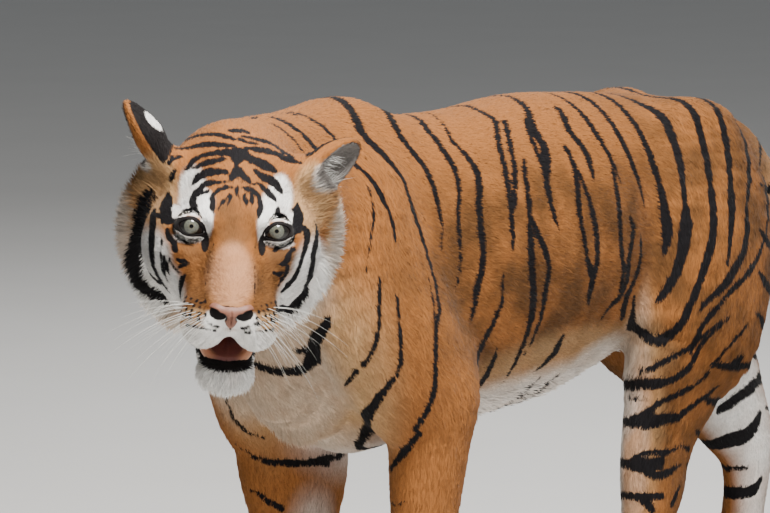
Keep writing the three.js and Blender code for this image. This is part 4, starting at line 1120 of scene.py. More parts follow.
TAN_PLACES = [
    ("temples", MASK, [(0.0, s * 0.105, 0.040, 0.14, 0.030, 0.050) for s in (1, -1)], 0.75),
    ("ruff's edge", MASK, [(-0.05, s * 0.142, -0.03, 0.14, 0.014, 0.09) for s in (1, -1)], 0.75),
    ("jaw's angle", MASK, [(-0.02, s * 0.085, -0.165, 0.14, 0.040, 0.032) for s in (1, -1)], 0.6),
    ("chest", BODY, [(0.46, 0.02, 0.49, 0.17, 0.15, 0.22)], 0.85),
    ("feet", BODY, [(-0.2, 0, 0.0, 1.0, 0.4, 0.095)], 0.75),
    ("throat", BODY, [(0.66, 0.12, 0.60, 0.17, 0.14, 0.10)], 0.85),
    ("whisker pads", MASK, [(0.08, s * 0.050, -0.125, 0.10, 0.026, 0.0135) for s in (1, -1)], 0.7),
    # front of the left hind leg: tan in place of its white, as painted shade
    ("front of the left hind leg", BODY, [(-0.205, 0.10, 0.36, 0.05, 0.08, 0.22)], 0.32),
    ("lower flank", BODY, [(-0.03, 0, 0.45, 0.22, 0.30, 0.07)], 0.55),
]
BROWN_AND_SHADE_PLACES = [
    ("bridge", MASK, [(0.0, 0, 0.000, 0.12, 0.030, 0.036)], 1.0),
    ("sides of the bridge", MASK, [(0.04, s * 0.031, -0.060, 0.12, 0.006, 0.050) for s in (1, -1)], 1.0),
    ("beside the bridge", MASK, [(0.06, s * 0.045, -0.075, 0.10, 0.017, 0.048) for s in (1, -1)], 0.9),
    ("below the eyes", MASK, [(0.02, s * 0.066, -0.042, 0.10, 0.026, 0.017) for s in (1, -1)], 1.0),
    # flank and thighs: painted shade, their orange darkened towards deep orange
    ("flank", BODY, [(0.0, 0, 0.60, 0.46, 0.30, 0.17)], 1.0),
    ("thighs", BODY, [(-0.42, 0, 0.50, 0.36, 0.30, 0.34)], 1.0),
    ("whisker pads", MASK, [(0.06, s * 0.052, -0.104, 0.10, 0.030, 0.016) for s in (1, -1)], 0.9),
]
PINK_PLACES = [("nose bridge", MASK, [(0.08, -0.002, -0.068, 0.10, 0.030, 0.044)], 0.9)]
DARK_PLACES = [
    ("tear lines", MASK, [(0.06, s * 0.0375, -0.024, 0.05, 0.0060, 0.015) for s in (1, -1)], 1.0),
    ("corners of the lips", HEAD, [(0.040, s * 0.050, -0.146, 0.040, 0.018, 0.028) for s in (1, -1)], 1.0),
    ("lower lip", HEAD, [(0.072, 0, -0.150, 0.054, 0.052, 0.0145)], 1.0),
    ("over the nose", MASK, [(0.12, 0, -0.1075, 0.05, 0.030, 0.0016)], 0.7),
    # nostrils: painted shade, black in and round the nostrils' openings
    ("nostrils", HEAD, [(0.134, s * 0.0165, -0.0625, 0.016, 0.0120, 0.0085) for s in (1, -1)], 1.0),
]
FLESH_PLACES = [("mouth", HEAD, [(0.050, 0, -0.126, 0.080, 0.036, 0.020)], 1.0)]
EDGE_WANDER = 0.0012


def amount(p, places):
    total = np.zeros(len(p))
    for _, matrix, rows, strength in places:
        total = np.maximum(total, strength * inside(p, matrix, rows, 1.25, 0.80))
    return total


def marks_here(p, normal, lines):
    return np.minimum(marks_at(p, normal, lines), ring_marks(p)) + EDGE_WANDER * waves(p, 0.011, 3)


def ground_at(p, normal, lines):
    """The numbers that the coat's material works from."""
    marks = marks_here(p, normal, lines)
    wander = 0.10 * waves(p, 0.03, 4)
    places = {"pale": WHITE_PLACES, "tan": TAN_PLACES, "brown": BROWN_AND_SHADE_PLACES, "pink": PINK_PLACES,
              "dark": DARK_PLACES, "flesh": FLESH_PLACES}
    numbers = {key: np.clip(amount(p, rows) * (1 + wander), 0, 1) for key, rows in places.items()}
    numbers.update(spot=np.zeros(len(p)), grey=np.zeros(len(p)))
    near, along = along_tail(p)
    numbers["pale"][near] = TAIL_PALE * step(along, 0.10, 0.60)
    numbers["tan"][near] = step(along, 0, 0.40)
    for (outer, hollow), matrix in zip(ear_shells, EAR_FRAMES.values()):
        near = np.flatnonzero(outer(p) < 0.008)
        q = local(p[near], matrix)
        deep, cup = outer(p[near]), hollow(p[near])
        rim = step(q[:, 2], 0.028, 0.040) * step(np.abs(cup), 0.006, 0.003)
        cup = step(cup, 0.004, 0.002) * step(q[:, 2], -0.040, -0.025)
        behind = step(q[:, 0], -0.002, -0.007) * step(q[:, 2], -0.046, -0.034)
        back = step(deep, 0.007, 0.004) * behind * (1 - cup)
        numbers["dark"][near] = np.maximum(numbers["dark"][near], np.maximum(back, 0.8 * rim))
        numbers["spot"][near] = back * step(np.hypot(q[:, 1] / 0.016, (q[:, 2] - 0.012) / 0.017), 1.1, 0.85)
        numbers["grey"][near] = cup
    return {"mark": marks, **numbers}


# ---------- materials ----------
class Shader:
    """A small helper over a material's nodes."""

    def __init__(self, name, **constants):
        self.material = bpy.data.materials.new(name)
        self.material.use_nodes = True
        self.tree = self.material.node_tree
        self.surface = self.tree.nodes["Principled BSDF"]
        for key, value in constants.items():
            self.surface.inputs[key.replace("_", " ")].default_value = value

    def add(self, kind, **settings):
        node = self.tree.nodes.new(kind)
        for key, value in settings.items():
            setattr(node, key, value)
        return node

    def link(self, source, target):
        self.tree.links.new(source, target)

    def number(self, name):
        return self.add("ShaderNodeAttribute", attribute_name=name).outputs["Fac"]

    def maths(self, operation, a, b=0.0, clamp=False):
        node = self.add("ShaderNodeMath", operation=operation, use_clamp=clamp)
        for socket, value in zip(node.inputs, (a, b)):
            if isinstance(value, (int, float)):
                socket.default_value = value
            else:
                self.link(value, socket)
        return node.outputs[0]

    def between(self, value, low, high):
        """0 where the value is low, 1 where it is high."""
        node = self.add("ShaderNodeMapRange", interpolation_type="SMOOTHSTEP")
        self.link(value, node.inputs["Value"])
        node.inputs["From Min"].default_value = low
        node.inputs["From Max"].default_value = high
        return node.outputs["Result"]

    def mix(self, share, first, second):
        node = self.add("ShaderNodeMix", data_type="RGBA")
        for socket, value in zip((node.inputs[0], node.inputs[6], node.inputs[7]), (share, first, second)):
            if isinstance(value, (int, float)):
                socket.default_value = value
            elif isinstance(value, tuple):
                socket.default_value = (*value, 1)
            else:
                self.link(value, socket)
        return node.outputs[2]

    def noise(self, scale, detail=3.0, roughness=0.5):
        node = self.add("ShaderNodeTexNoise")
        self.link(self.add("ShaderNodeTexCoord").outputs["Object"], node.inputs["Vector"])
        node.inputs["Scale"].default_value = scale
        node.inputs["Detail"].default_value = detail
        node.inputs["Roughness"].default_value = roughness
        return node.outputs["Fac"]

    def bump(self, height, strength, distance):
        node = self.add("ShaderNodeBump")
        node.inputs["Strength"].default_value = strength
        node.inputs["Distance"].default_value = distance
        self.link(height, node.inputs["Height"])
        self.link(node.outputs["Normal"], self.surface.inputs["Normal"])

    def colour(self, source):
        self.link(source, self.surface.inputs["Base Color"])


ORANGE = (0.315, 0.120, 0.032)
# deep orange-brown: the own colour of the bridge and whisker pads, and painted shade on the flank and thighs
ORANGE_DEEP = (0.120, 0.051, 0.015)
WHITE = (0.88, 0.86, 0.82)
TAN = (0.50, 0.315, 0.155)
GREY = (0.20, 0.18, 0.165)
MAROON = (0.10, 0.018, 0.016)
PINK = (0.45, 0.222, 0.112)
BLACK = (0.006, 0.005, 0.006)
# black of the lips, lid rims, ears and markings, and painted shade at the nostrils
SKIN_DARK_AND_SHADE = (0.008, 0.006, 0.006)


def coat_material(name, along=None):
    """Orange, brown, white and black by the numbers at each root; the brown is the face's own colour and
    painted shade on the flank and thighs. Darker at the roots of locks, as painted shade between them.
    """
    s = Shader(name, Roughness=0.70, Specular_IOR_Level=0.12, Sheen_Weight=0.04, Sheen_Roughness=0.5)
    speckle = s.noise(160, 3)
    patches = s.noise(14, 3)
    # brown: the face's own deep orange, and painted shade on the flank and thighs
    brown = s.maths("MULTIPLY", s.number("brown"), s.between(patches, 0.25, 0.65))
    ground = s.mix(brown, ORANGE, ORANGE_DEEP)
    ground = s.mix(s.number("tan"), ground, TAN)
    ground = s.mix(s.number("pink"), ground, PINK)
    ground = s.mix(s.number("pale"), ground, WHITE)
    mark = s.between(s.number("mark"), -0.0008, 0.0012)
    colour = s.mix(mark, BLACK, ground)
    colour = s.mix(s.between(s.number("dark"), 0.3, 0.7), colour, SKIN_DARK_AND_SHADE)
    colour = s.mix(s.between(s.number("flesh"), 0.3, 0.8), colour, MAROON)
    colour = s.mix(s.between(s.number("spot"), 0.3, 0.7), colour, WHITE)
    colour = s.mix(s.between(s.number("grey"), 0.2, 0.8), colour, GREY)
    speckle_and_root_shade = s.maths("ADD", s.maths("MULTIPLY", speckle, 0.32), 0.84)
    # darker towards the roots of the locks: painted shade between them
    if along:
        speckle_and_root_shade = s.maths("MULTIPLY", speckle_and_root_shade, s.maths("ADD", s.maths("MULTIPLY", s.number(along), 0.30), 0.76))
    tint = s.add("ShaderNodeMix", data_type="RGBA", blend_type="MULTIPLY")
    tint.inputs[0].default_value = 1.0
    s.link(colour, tint.inputs[6])
    s.link(speckle_and_root_shade, tint.inputs[7])
    s.colour(tint.outputs[2])
    s.bump(s.noise(900, 2), 0.5, 0.0006)
    return s.material


# ---------- the coat ----------
FLOW_FROM = (0.150, 0, -0.030)  # a point in the muzzle, from which the head's fur runs away
JOWLS = (-0.08, 0, -0.10, 0.10, 0.16, 0.09)  # where it turns down
DROOP = 0.45  # how much the trunk's fur also lies downwards


def flow_at(p, normals):
    """The way that the fur lies: from the nose back over the head, along the trunk and down the legs."""
    total = np.zeros((len(p), 3))
    for name, tube in TUBES.items():
        distance, way = tube.flow(p)
        if name == "neck":
            way = -way
        if name in ("trunk", "neck"):
            way = way + (0, 0, -DROOP)
        total += way * np.exp(-np.clip(distance, -0.02, FAR) / 0.015)[:, None]
    on_head = np.exp(-np.clip(head_form(p), -0.02, FAR) / 0.012)
    q = local(p, HEAD)
    away = unit(q - FLOW_FROM) + inside(p, HEAD, [JOWLS])[:, None] * (0, 0, -0.7)
    total += (away @ np.array(HEAD.to_3x3()).T) * (3 * on_head)[:, None]
    for matrix in EAR_FRAMES.values():
        on_ear = inside(p, matrix, [(0, 0, 0.010, 0.030, 0.045, 0.055)])[:, None]
        total = total * (1 - on_ear) + on_ear * np.array(matrix.col[2][:3])
    flat = total - np.sum(total * normals, axis=1, keepdims=True) * normals
    return unit(flat)


COVERED, SEEN = 0.40, 0.85  # the stretch of each lock that the ones before it leave in sight
LOCK_TILT = 0.16  # how much each lock's shading leans away from the skin's
PATCH = 0.0015  # half the width of a lock's patch in the unwrap
LONG = 0.0215  # a lock longer than this bends half way
SHORT_FACES = [(1, 0, 3), (2, 1, 3), (0, 2, 3), (2, 0, 1)]
LONG_FACES = [(1, 0, 4), (4, 0, 3), (2, 1, 5), (5, 1, 4), (0, 2, 3), (3, 2, 5)]
LONG_FACES += [(4, 3, 6), (5, 4, 6), (3, 5, 6)]
LENGTHS = (0.7, 1.25)  # how locks differ from the fur's own length, width and rise
WIDTHS = (0.75, 1.3)
RISES = (0.5, 1.5)
ROOT_SUNK = 0.0008
RIDGE = 0.45  # height of a lock's ridge at its root, over its width
SWING = 10  # degrees by which locks stray from the lie
SWAY = (9, 0.035)  # degrees and size of the waves that they share


def sow(vertices, triangles, density, rng):
    """Roots strewn over triangles: the triangle of each, and its weights for the corners."""
    a, b, c = (vertices[triangles[:, n]] for n in range(3))
    area = np.linalg.norm(np.cross(b - a, c - a), axis=1) / 2
    share = area * density
    count = np.floor(share + rng.random(len(share))).astype(int)
    which = np.repeat(np.arange(len(share)), count)
    u, v = np.sort(rng.random((2, len(which))), axis=0)
    return which, np.stack([u, v - u, 1 - v], axis=1)


def lock_points(root, normal, lie, fur, rng):
    """The corners of each lock, and how far along it they are."""
    n = len(root)
    _, length, width, rise, _ = fur.T
    short = fur[:, 1].max() <= LONG
    length = length * rng.uniform(*LENGTHS, n)
    width = width * rng.uniform(*WIDTHS, n)
    rise = np.radians(rise * rng.uniform(*RISES, n))
    side = np.cross(normal, lie)

    def at(along, up, across):
        return root + lie * along[:, None] + normal * up[:, None] + side * across[:, None]

    none = np.zeros(n)
    sunk = none - ROOT_SUNK
    low = at(none, sunk, width / 2), at(none, sunk, -width / 2), at(none, width * RIDGE, none)
    tip = at(length * np.cos(rise), length * np.sin(rise), none)
    if short:
        return np.stack([*low, tip], axis=1), (0, 0, 0, 1), SHORT_FACES
    mid, lift = length * 0.5 * np.cos(rise * 1.4), length * 0.5 * np.sin(rise * 1.4)
    middle = at(mid, lift, width / 2), at(mid, lift, -width / 2), at(mid, lift + width * 0.4, none)
    return np.stack([*low, *middle, tip], axis=1), (0, 0, 0, 0.5, 0.5, 0.5, 1), LONG_FACES


def add_locks(name, root, normal, fur, lines, spot, material, rng):
    """One piece of the coat. spot: the roots' places on the unwrap."""
    lie = flow_at(root, normal)
    swing = np.radians(SWING * rng.normal(size=len(root)) + SWAY[0] * waves(root, SWAY[1], 5))[:, None]
    lie = unit(lie * np.cos(swing) + np.cross(normal, lie) * np.sin(swing))
    corners, along, faces = lock_points(root, normal, lie, fur, rng)
    sides = corners.shape[1]
    start = (np.arange(len(root)) * sides)[:, None, None]
    flat = corners.reshape(-1, 3)
    flat[:, 2] = np.maximum(flat[:, 2], CLEAR_OF_FLOOR / 2)
    reach = corners[:, -1] - root
    at_root = ground_at(root + COVERED * reach, normal, lines)
    at_tip = marks_here(root + SEEN * reach, normal, lines)
    numbers = {key: np.repeat(value, sides) for key, value in at_root.items()}
    share = np.tile(along, len(root))
    numbers["mark"] = numbers["mark"] * (1 - share) + np.repeat(at_tip, sides) * share
    numbers["along"] = share
    thing = add_mesh(name, corners.reshape(-1, 3), (start + np.array(faces)).reshape(-1, 3), material,
                     values=numbers)
    turned = np.linspace(0, 2 * math.pi, sides, endpoint=False)
    patch = np.stack([np.cos(turned), np.sin(turned)], axis=1) * PATCH
    uv = (spot[:, None, :] + patch).reshape(-1, 2)
    soft = unit(normal + LOCK_TILT * rng.normal(size=normal.shape))
    thing.data.normals_split_custom_set_from_vertices(np.repeat(soft, sides, axis=0))
    layer = thing.data.uv_layers.new(name="OFBake")
    layer.data.foreach_set("uv", uv[(start + np.array(faces)).reshape(-1)].astype(np.float32).ravel())
    return thing


# ---------- eyes ----------
LOOKS_AT = (6.384, 5.180, 1.621)
IRIS = 0.0104
PUPIL = 0.0027
CORNEA_RISE = 0.0016
LID_RADIUS = 0.0216
LID_OPENING = (0.0152, 0.0098)  # half-width and half-height
LID_TURN = 9  # outwards from the head's own length
LID_RISE = 21
LID_RIM = 0.0027  # black edge
LID_HOLE = 0.0190  # radius of the hole in the skin, under the lids
LID_ROWS = [  # (share of the way from the opening to the lids' outer edge, distance from the eye's centre)
    (0, 0.0190), (0, 0.0203), (0.02, 0.0209), (0.07, 0.0214), (0.14, 0.0216), (0.24, 0.0216),
    (0.36, 0.0217), (0.50, 0.0218), (0.66, 0.0218), (0.82, 0.0217), (1, 0.0214),
]
LID_FREE = 4  # rows before this one stand free, and the others lie on the skin
LID_OVER = 0.0003  # by this much over it
AROUND = 72


def eye_centre(side):
    return place((EYE_FORWARD, side * EYE_SPACING / 2, EYE_RISE), HEAD)


def facing(axis, up):
    """A frame with its x along the axis and its z near up."""
    x = unit(axis)
    z = unit(np.asarray(up) - x @ np.asarray(up) * x)
    return np.stack([x, np.cross(z, x), z], axis=1)


def rings(points):
    """Vertices and faces of rows of points, each row a closed ring."""
    rows, count = points.shape[:2]
    here = np.arange(rows * count).reshape(rows, count)
    nxt = np.roll(here, -1, axis=1)
    return points.reshape(-1, 3), np.stack([here[:-1], nxt[:-1], nxt[1:], here[1:]], axis=-1).reshape(-1, 4)


def eyeball(name, side, material):
    centre = eye_centre(side)
    frame_ = facing(np.array(LOOKS_AT) - centre, (0, 0, 1))
    theta = np.concatenate([np.linspace(0.01, 0.6, 26), np.linspace(0.65, 2.2, 24)])[:, None]
    phi = np.linspace(0, 2 * math.pi, AROUND, endpoint=False)[None]
    out = EYE_RADIUS * np.sin(theta) + 0 * phi
    rise = CORNEA_RISE * np.clip(1 - (out / (IRIS * 1.12)) ** 2, 0, 1) * (theta < 1.5)
    front = EYE_RADIUS * np.cos(theta) + rise
    local_points = np.stack([front, out * np.cos(phi), out * np.sin(phi)], axis=-1)
    far = out + (theta > 1.5)
    vertices, faces = rings(centre + local_points @ frame_.T)
    values = {"out": far.ravel(), "round": (0 * out + phi).ravel()}
    thing = add_mesh(name, vertices, faces, material, values=values)
    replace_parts(thing, name)


def eye_material():
    """Grey-green iris with fine streaks, dark at its edge, round pupil, brown-black beyond."""
    s = Shader("eye", Roughness=0.04, Specular_IOR_Level=0.35, Coat_Weight=0.2, Coat_Roughness=0.02)
    out = s.number("out")
    streaks = s.add("ShaderNodeTexNoise", noise_dimensions="2D")
    spread = s.add("ShaderNodeCombineXYZ")
    s.link(s.maths("MULTIPLY", s.number("round"), 9.0), spread.inputs[0])
    s.link(s.maths("MULTIPLY", out, 160.0), spread.inputs[1])
    s.link(spread.outputs[0], streaks.inputs["Vector"])
    streaks.inputs["Scale"].default_value = 2.2
    iris = s.mix(s.between(streaks.outputs["Fac"], 0.3, 0.7), (0.060, 0.064, 0.050), (0.155, 0.160, 0.128))
    iris = s.mix(s.between(out, PUPIL * 2.0, PUPIL * 1.2), iris, (0.115, 0.110, 0.080))
    iris = s.mix(s.between(out, IRIS * 0.82, IRIS), iris, (0.012, 0.011, 0.010))
    iris = s.mix(s.between(out, PUPIL * 1.1, PUPIL * 0.92), iris, (0.003, 0.003, 0.003))
    s.colour(s.mix(s.between(out, IRIS * 1.1, IRIS * 1.5), iris, (0.014, 0.010, 0.009)))
    return s.material


def lid_frame(side):
    """The way that the opening between the lids faces."""
    rise, outwards = math.radians(LID_RISE), math.radians(LID_TURN)
    way = (math.cos(rise) * math.cos(outwards), side * math.sin(outwards), math.sin(rise))
    return np.array(HEAD.to_3x3()) @ facing(np.array(way), (0, 0, 1))


def lids(side):
    """The skin round an eye: vertices, faces, how far each vertex is beyond the black rim, and how low."""
    phi = np.linspace(0, 2 * math.pi, AROUND, endpoint=False)
    inner = np.clip(-np.cos(phi) * side, 0, 1)
    outer = np.clip(np.cos(phi) * side, 0, 1)
    wide = LID_OPENING[0] * np.cos(phi) * (1 + 0.22 * inner**3)
    high = LID_OPENING[1] * np.sin(phi) * np.abs(np.sin(phi)) ** 0.25
    high = high - 0.0042 * inner**2.5 + 0.0012 * outer**2
    edge = np.stack([wide, high], axis=1)
    far = np.stack([np.cos(phi), np.sin(phi)], axis=1) * LID_RADIUS * 0.985
    rows, spread = [], []
    for t, radius in LID_ROWS:
        across = edge * (1 - t) + far * t
        depth = np.sqrt(np.maximum(radius**2 - np.sum(across**2, axis=1), 1e-8))
        rows.append(np.stack([depth, across[:, 0], across[:, 1]], axis=1))
        spread.append(np.linalg.norm(across - edge, axis=1))
    points = eye_centre(side) + np.array(rows) @ lid_frame(side).T
    resting = points[LID_FREE:]
    settled = settle(lambda p: skin_form(p) - LID_OVER, resting.reshape(-1, 3), 3)
    points[LID_FREE:] = settled.reshape(resting.shape)
    upper = np.clip(np.sin(phi), 0, 1)
    lower = np.tile(np.clip(0.75 - 2 * np.sin(phi), 0, 1), len(rows))
    rim = np.tile(LID_RIM * (1 + 0.9 * upper + 2.5 * inner**6 + 2.2 * outer**6), len(rows))
    vertices, faces = rings(points)
    return vertices, faces, np.concatenate(spread) - rim, lower


# ---------- nose, tongue, whiskers, claws ----------
NOSE_BALLS = [
    (0.128, 0, -0.0610, 0.018, 0.026, 0.0110),
    (0.124, 0.0195, -0.0600, 0.0165, 0.0105, 0.0100),
    (0.134, 0, -0.0710, 0.0125, 0.0085, 0.0120),
]
NOSTRIL = (0.146, 0.0135, -0.0655, 0.014, 0.0076, 0.0064)
NOSTRIL_SLIT = (0.138, 0.0228, -0.0610, 0.014, 0.0086, 0.0052)
NOSE_GROOVE = (0.1475, 0, -0.070, 0.0045, 0.0009, 0.018)
TONGUE_BALLS = [(0.036, 0, -0.1540, 0.050, 0.0290, 0.0080), (0.074, 0, -0.1550, 0.024, 0.0270, 0.0062)]
WHISKER_ROOM = 0.018  # how far whiskers reach beyond the solids' left side
# GUM: the inner edge of the lower lip. Its pale pink, stronger towards the sides, is partly its own colour and
# partly a painted highlight along this curled edge.
GUM = [(0.030, 0.0320, -0.136, 0.0060, 0.0065), (0.052, 0.0315, -0.143, 0.0060, 0.0070),
       (0.072, 0.0280, -0.149, 0.0060, 0.0065), (0.086, 0.0180, -0.1535, 0.0060, 0.0055),
       (0.090, 0.0000, -0.1550, 0.0060, 0.0050)]  # pink inner edge of the lower lip


def nose_form(p):
    body = blend([(ball(row, HEAD), 0.008) for rows in NOSE_BALLS for row in twins(rows)])(p)
    for row in (NOSTRIL, NOSTRIL_SLIT):
        for one in twins(row):
            body = smooth_max(body, -ball(one, HEAD)(p), 0.002)
    return smooth_max(body, -ball(NOSE_GROOVE, HEAD)(p), 0.002)


gum_form = blend([(Tube(GUM, HEAD, mirror).form, 0.004) for mirror in (1, -1)])


def tongue_form(p):
    body = smooth_min(blend([(ball(row, HEAD), 0.012) for row in TONGUE_BALLS])(p), gum_form(p), 0.004)
    groove = ball((0.075, 0, -0.1430, 0.050, 0.0012, 0.0030), HEAD)
    return smooth_max(body, -groove(p), 0.004)


def small_net(form, middle, half, spacing):
    centre = place(middle, HEAD)
    vertices, quads = surface_net(form, [np.arange(c - half, c + half, spacing) for c in centre])
    return settle(form, vertices, 1, spacing), quads


def leather_material():
    s = Shader("nose", Roughness=0.45, Specular_IOR_Level=0.25)
    cells = s.add("ShaderNodeTexVoronoi", feature="DISTANCE_TO_EDGE")
    s.link(s.add("ShaderNodeTexCoord").outputs["Object"], cells.inputs["Vector"])
    cells.inputs["Scale"].default_value = 750
    base = s.mix(s.noise(90, 3), (0.20, 0.084, 0.055), (0.28, 0.125, 0.084))
    base = s.mix(s.between(cells.outputs["Distance"], 0.06, 0.0), base, (0.12, 0.052, 0.040))
    # near black in the nostrils' hollows: painted shade
    s.colour(s.mix(s.between(s.number("deep"), 0.0016, -0.0004), base, (0.004, 0.003, 0.003)))
    s.bump(cells.outputs["Distance"], 0.35, 0.0004)
    return s.material


def tongue_material():
    s = Shader("tongue", Roughness=0.38, Specular_IOR_Level=0.5, Subsurface_Weight=0.10)
    tongue = s.mix(s.noise(60, 3), (0.150, 0.045, 0.044), (0.240, 0.082, 0.076))
    # pale pink rim: partly the lip edge's own colour, partly painted highlight
    s.colour(s.mix(s.number("lip_edge_and_highlight"), tongue, (0.56, 0.25, 0.14)))
    s.bump(s.noise(900, 2), 0.5, 0.0007)
    return s.material


def bristle_material(name, dark, light):
    s = Shader(name, Roughness=0.38, Specular_IOR_Level=0.45)
    s.colour(s.mix(s.noise(260, 2), dark, light))
    return s.material


def add_hairs(name, roots, ways, lengths, droops, radius, material, sides=3, count=8):
    """Long thin tapered hairs, each bending downwards."""
    parts, faces, start = [], [], 0
    for root, way, length, droop in zip(roots, ways, lengths, droops):
        t = np.linspace(0, 1, count)[:, None]
        line = root + way * length * t + np.array((0, 0, -1)) * droop * t**2
        side = unit(np.cross(way, (0, 0, 1)))
        up = np.cross(side, way)
        turned = np.linspace(0, 2 * math.pi, sides, endpoint=False)
        around = np.cos(turned)[:, None] * side + np.sin(turned)[:, None] * up
        points = line[:, None] + around[None] * (radius * (1 - 0.85 * t))[:, :, None]
        vertices, quads = rings(points)
        parts.append(vertices)
        faces.append(quads + start)
        start += len(vertices)
    return add_mesh(name, np.concatenate(parts), np.concatenate(faces), material)


def whiskers(side, material):
    """Rows of whiskers on the pad of one side, swept out, back and down."""
    rng = np.random.default_rng(SEED + 40 + side)
    spots = pad_spots(side)[len(PAD_ROWS):]
    spots = spots[np.abs(spots[:, 0]) > 0.030]
    spots += rng.normal(size=spots.shape) * 0.0008
    roots, _ = drape([("mask", np.column_stack([spots, np.zeros(len(spots))]))], 1)[0]
    share = (np.abs(spots[:, 0]) - 0.030) / 0.036
    low = (-0.110 - spots[:, 1]) / 0.03
    ways = np.stack([0.10 - 0.5 * share, side * (0.75 + 0 * share), -0.22 - 0.55 * low], axis=1)
    ways += rng.normal(size=ways.shape) * 0.09
    ways = unit(ways) @ np.array(HEAD.to_3x3()).T
    lengths = (0.058 + 0.062 * share) * rng.uniform(0.7, 1.15, len(spots))
    room = cad_box[1][1] - OFFSET[1] + WHISKER_ROOM - roots[:, 1]
    lengths = np.minimum(lengths, room / np.maximum(ways[:, 1], 0.01))
    return add_hairs(f"whiskers_{'left' if side > 0 else 'right'}", roots, ways, lengths,
                     0.022 * rng.uniform(0.5, 1.6, len(spots)), 0.00042, material)


def claws(name, matrix, material):
    """The tips of four claws, between the toes' fur."""
    parts, faces = [], []
    for n, (x, y, z, long, _, _) in enumerate(PAW_BALLS[1:]):
        t = np.linspace(0, 1, 7)[:, None]
        line = np.array((x + long - 0.008, y, z - 0.004)) + t * (0.013, 0, 0) + t**2 * (0, 0, -0.009)
        turned = np.linspace(0, 2 * math.pi, 10, endpoint=False)
        around = np.stack([0 * turned, np.cos(turned) * 0.0019, np.sin(turned) * 0.0030], axis=1)
        points = line[:, None] + around[None] * (1 - 0.92 * t**1.5)[:, :, None]
        vertices, quads = rings(points)
        parts.append(place(vertices, matrix))
        faces.append(quads + n * len(vertices))
    return add_mesh(name, np.concatenate(parts), np.concatenate(faces), material)


def ear_hairs(side, material):
    """Long white hairs from the lower edge of an ear, over its opening."""
    rng = np.random.default_rng(SEED + 60 + (side == "left"))
    matrix = EAR_FRAMES[side]
    count = 120
    turned = rng.uniform(1.6, 4.6, count) * (-1 if side == "left" else 1)
    edge = np.stack([0.006 + 0 * turned, 0.026 * np.sin(turned), 0.032 * np.cos(turned)], axis=1)
    roots = place(edge, matrix)
    inwards = edge * (0, -0.6, -0.2) / 0.03 + (0.25, 0, 0.55)
    ways = unit(inwards + rng.normal(size=(count, 3)) * 0.22) @ np.array(matrix.to_3x3()).T
    lengths = rng.uniform(0.018, 0.034, count)
    droops = 0.004 * rng.random(count)
    return add_hairs("ear_hairs_" + side, roots, ways, lengths, droops, 0.00035, material, count=5)


# ---------- skin and coat ----------
HEAD_MIDDLE = (-0.040, 0, -0.050)
TRUNK_SPLIT = -0.02  # the x between the coat's front and rear pieces on the trunk
FACE_SPLIT = 0.0  # the x, in the head's frame, between its face and head
HEAD_SAYS = 0.004  # how much nearer the head has to be for the coat to belong to it
EAR_SAYS = 0.003  # the coat nearer an ear than this belongs to it


def unwrap_tube(p, name):
    """Round the tube's axis, and along it."""
    line = refine({"trunk": TRUNK, "neck": NECK, "tail": TAIL, "foreleg_left": FORELEG_LEFT,
                   "foreleg_right": FORELEG_RIGHT, "hindleg_left": HINDLEG_LEFT,
                   "hindleg_right": HINDLEG_RIGHT}[name], 3)[:, :3]
    if "leg" in name:
        line = np.vstack([line, line[-1] * (1, 1, 0)])
    far = np.concatenate([[0], np.cumsum(np.linalg.norm(np.diff(line, axis=0), axis=1))])
    best = np.full(len(p), FAR)
    spot = np.zeros((len(p), 2))
    for start, end, length in zip(line, line[1:], far):
        axis = unit(end - start)
        span = np.linalg.norm(end - start)
        t = np.clip((p - start) @ axis, 0, span)
        offset = p - start - t[:, None] * axis
        gap = np.linalg.norm(offset, axis=1)
        side = unit(np.array((0, 1, 0)) - axis[1] * axis)
        nearer = gap < best
        best[nearer] = gap[nearer]
        round_ = np.arctan2(offset @ side, offset @ np.cross(axis, side))
        spot[nearer] = np.stack([round_, length + t], axis=1)[nearer]
    return spot


def unwrap_head(p):
    """Every way from the middle of the head, as a map with the nose at its middle."""
    q = unit(local(p, HEAD) - HEAD_MIDDLE)
    far = np.arccos(np.clip(q[:, 0], -1, 1))
    around = np.arctan2(q[:, 1], q[:, 2])
    return np.stack([far * np.sin(around), far * np.cos(around)], axis=1)


def unwrap_ear(p, side):
    """The ear's front and back, side by side."""
    q = local(p, EAR_FRAMES[side])
    return np.stack([q[:, 1] + 0.1 * (q[:, 0] > 0.002), q[:, 2]], axis=1)


def fitted(spot):
    """An unwrap brought to the unit square, with room for the patches."""
    low, high = spot.min(axis=0), spot.max(axis=0)
    return PATCH + (spot - low) / (high - low) * (1 - 2 * PATCH)


def sort_out(p):
    """The name of the piece of coat for each place on the skin."""
    names = [*TUBES, "head"]
    distances = [TUBES[name].form(p) for name in TUBES] + [head_form(p) + HEAD_SAYS]
    paws = {name.replace("paw", "leg"): form for name, form in zip(PAWS, paw_forms)}
    for n, name in enumerate(names):
        if name in paws:
            distances[n] = np.minimum(distances[n], paws[name](p))
    which = np.array(names)[np.argmin(distances, axis=0)].astype("<U24")
    trunk = which == "trunk"
    half = np.where(p[:, 0] > TRUNK_SPLIT, "front", "rear")
    side = np.where(p[:, 1] > 0, "left", "right")
    which[trunk] = np.char.add(np.char.add("trunk_", half), np.char.add("_", side))[trunk]
    head = which == "head"
    which[head & (local(p, HEAD)[:, 0] > FACE_SPLIT)] = "face"
    for side, (outer, _) in zip(EAR_FRAMES, ear_shells):
        which[outer(p) < EAR_SAYS] = "ear_" + side
    return which


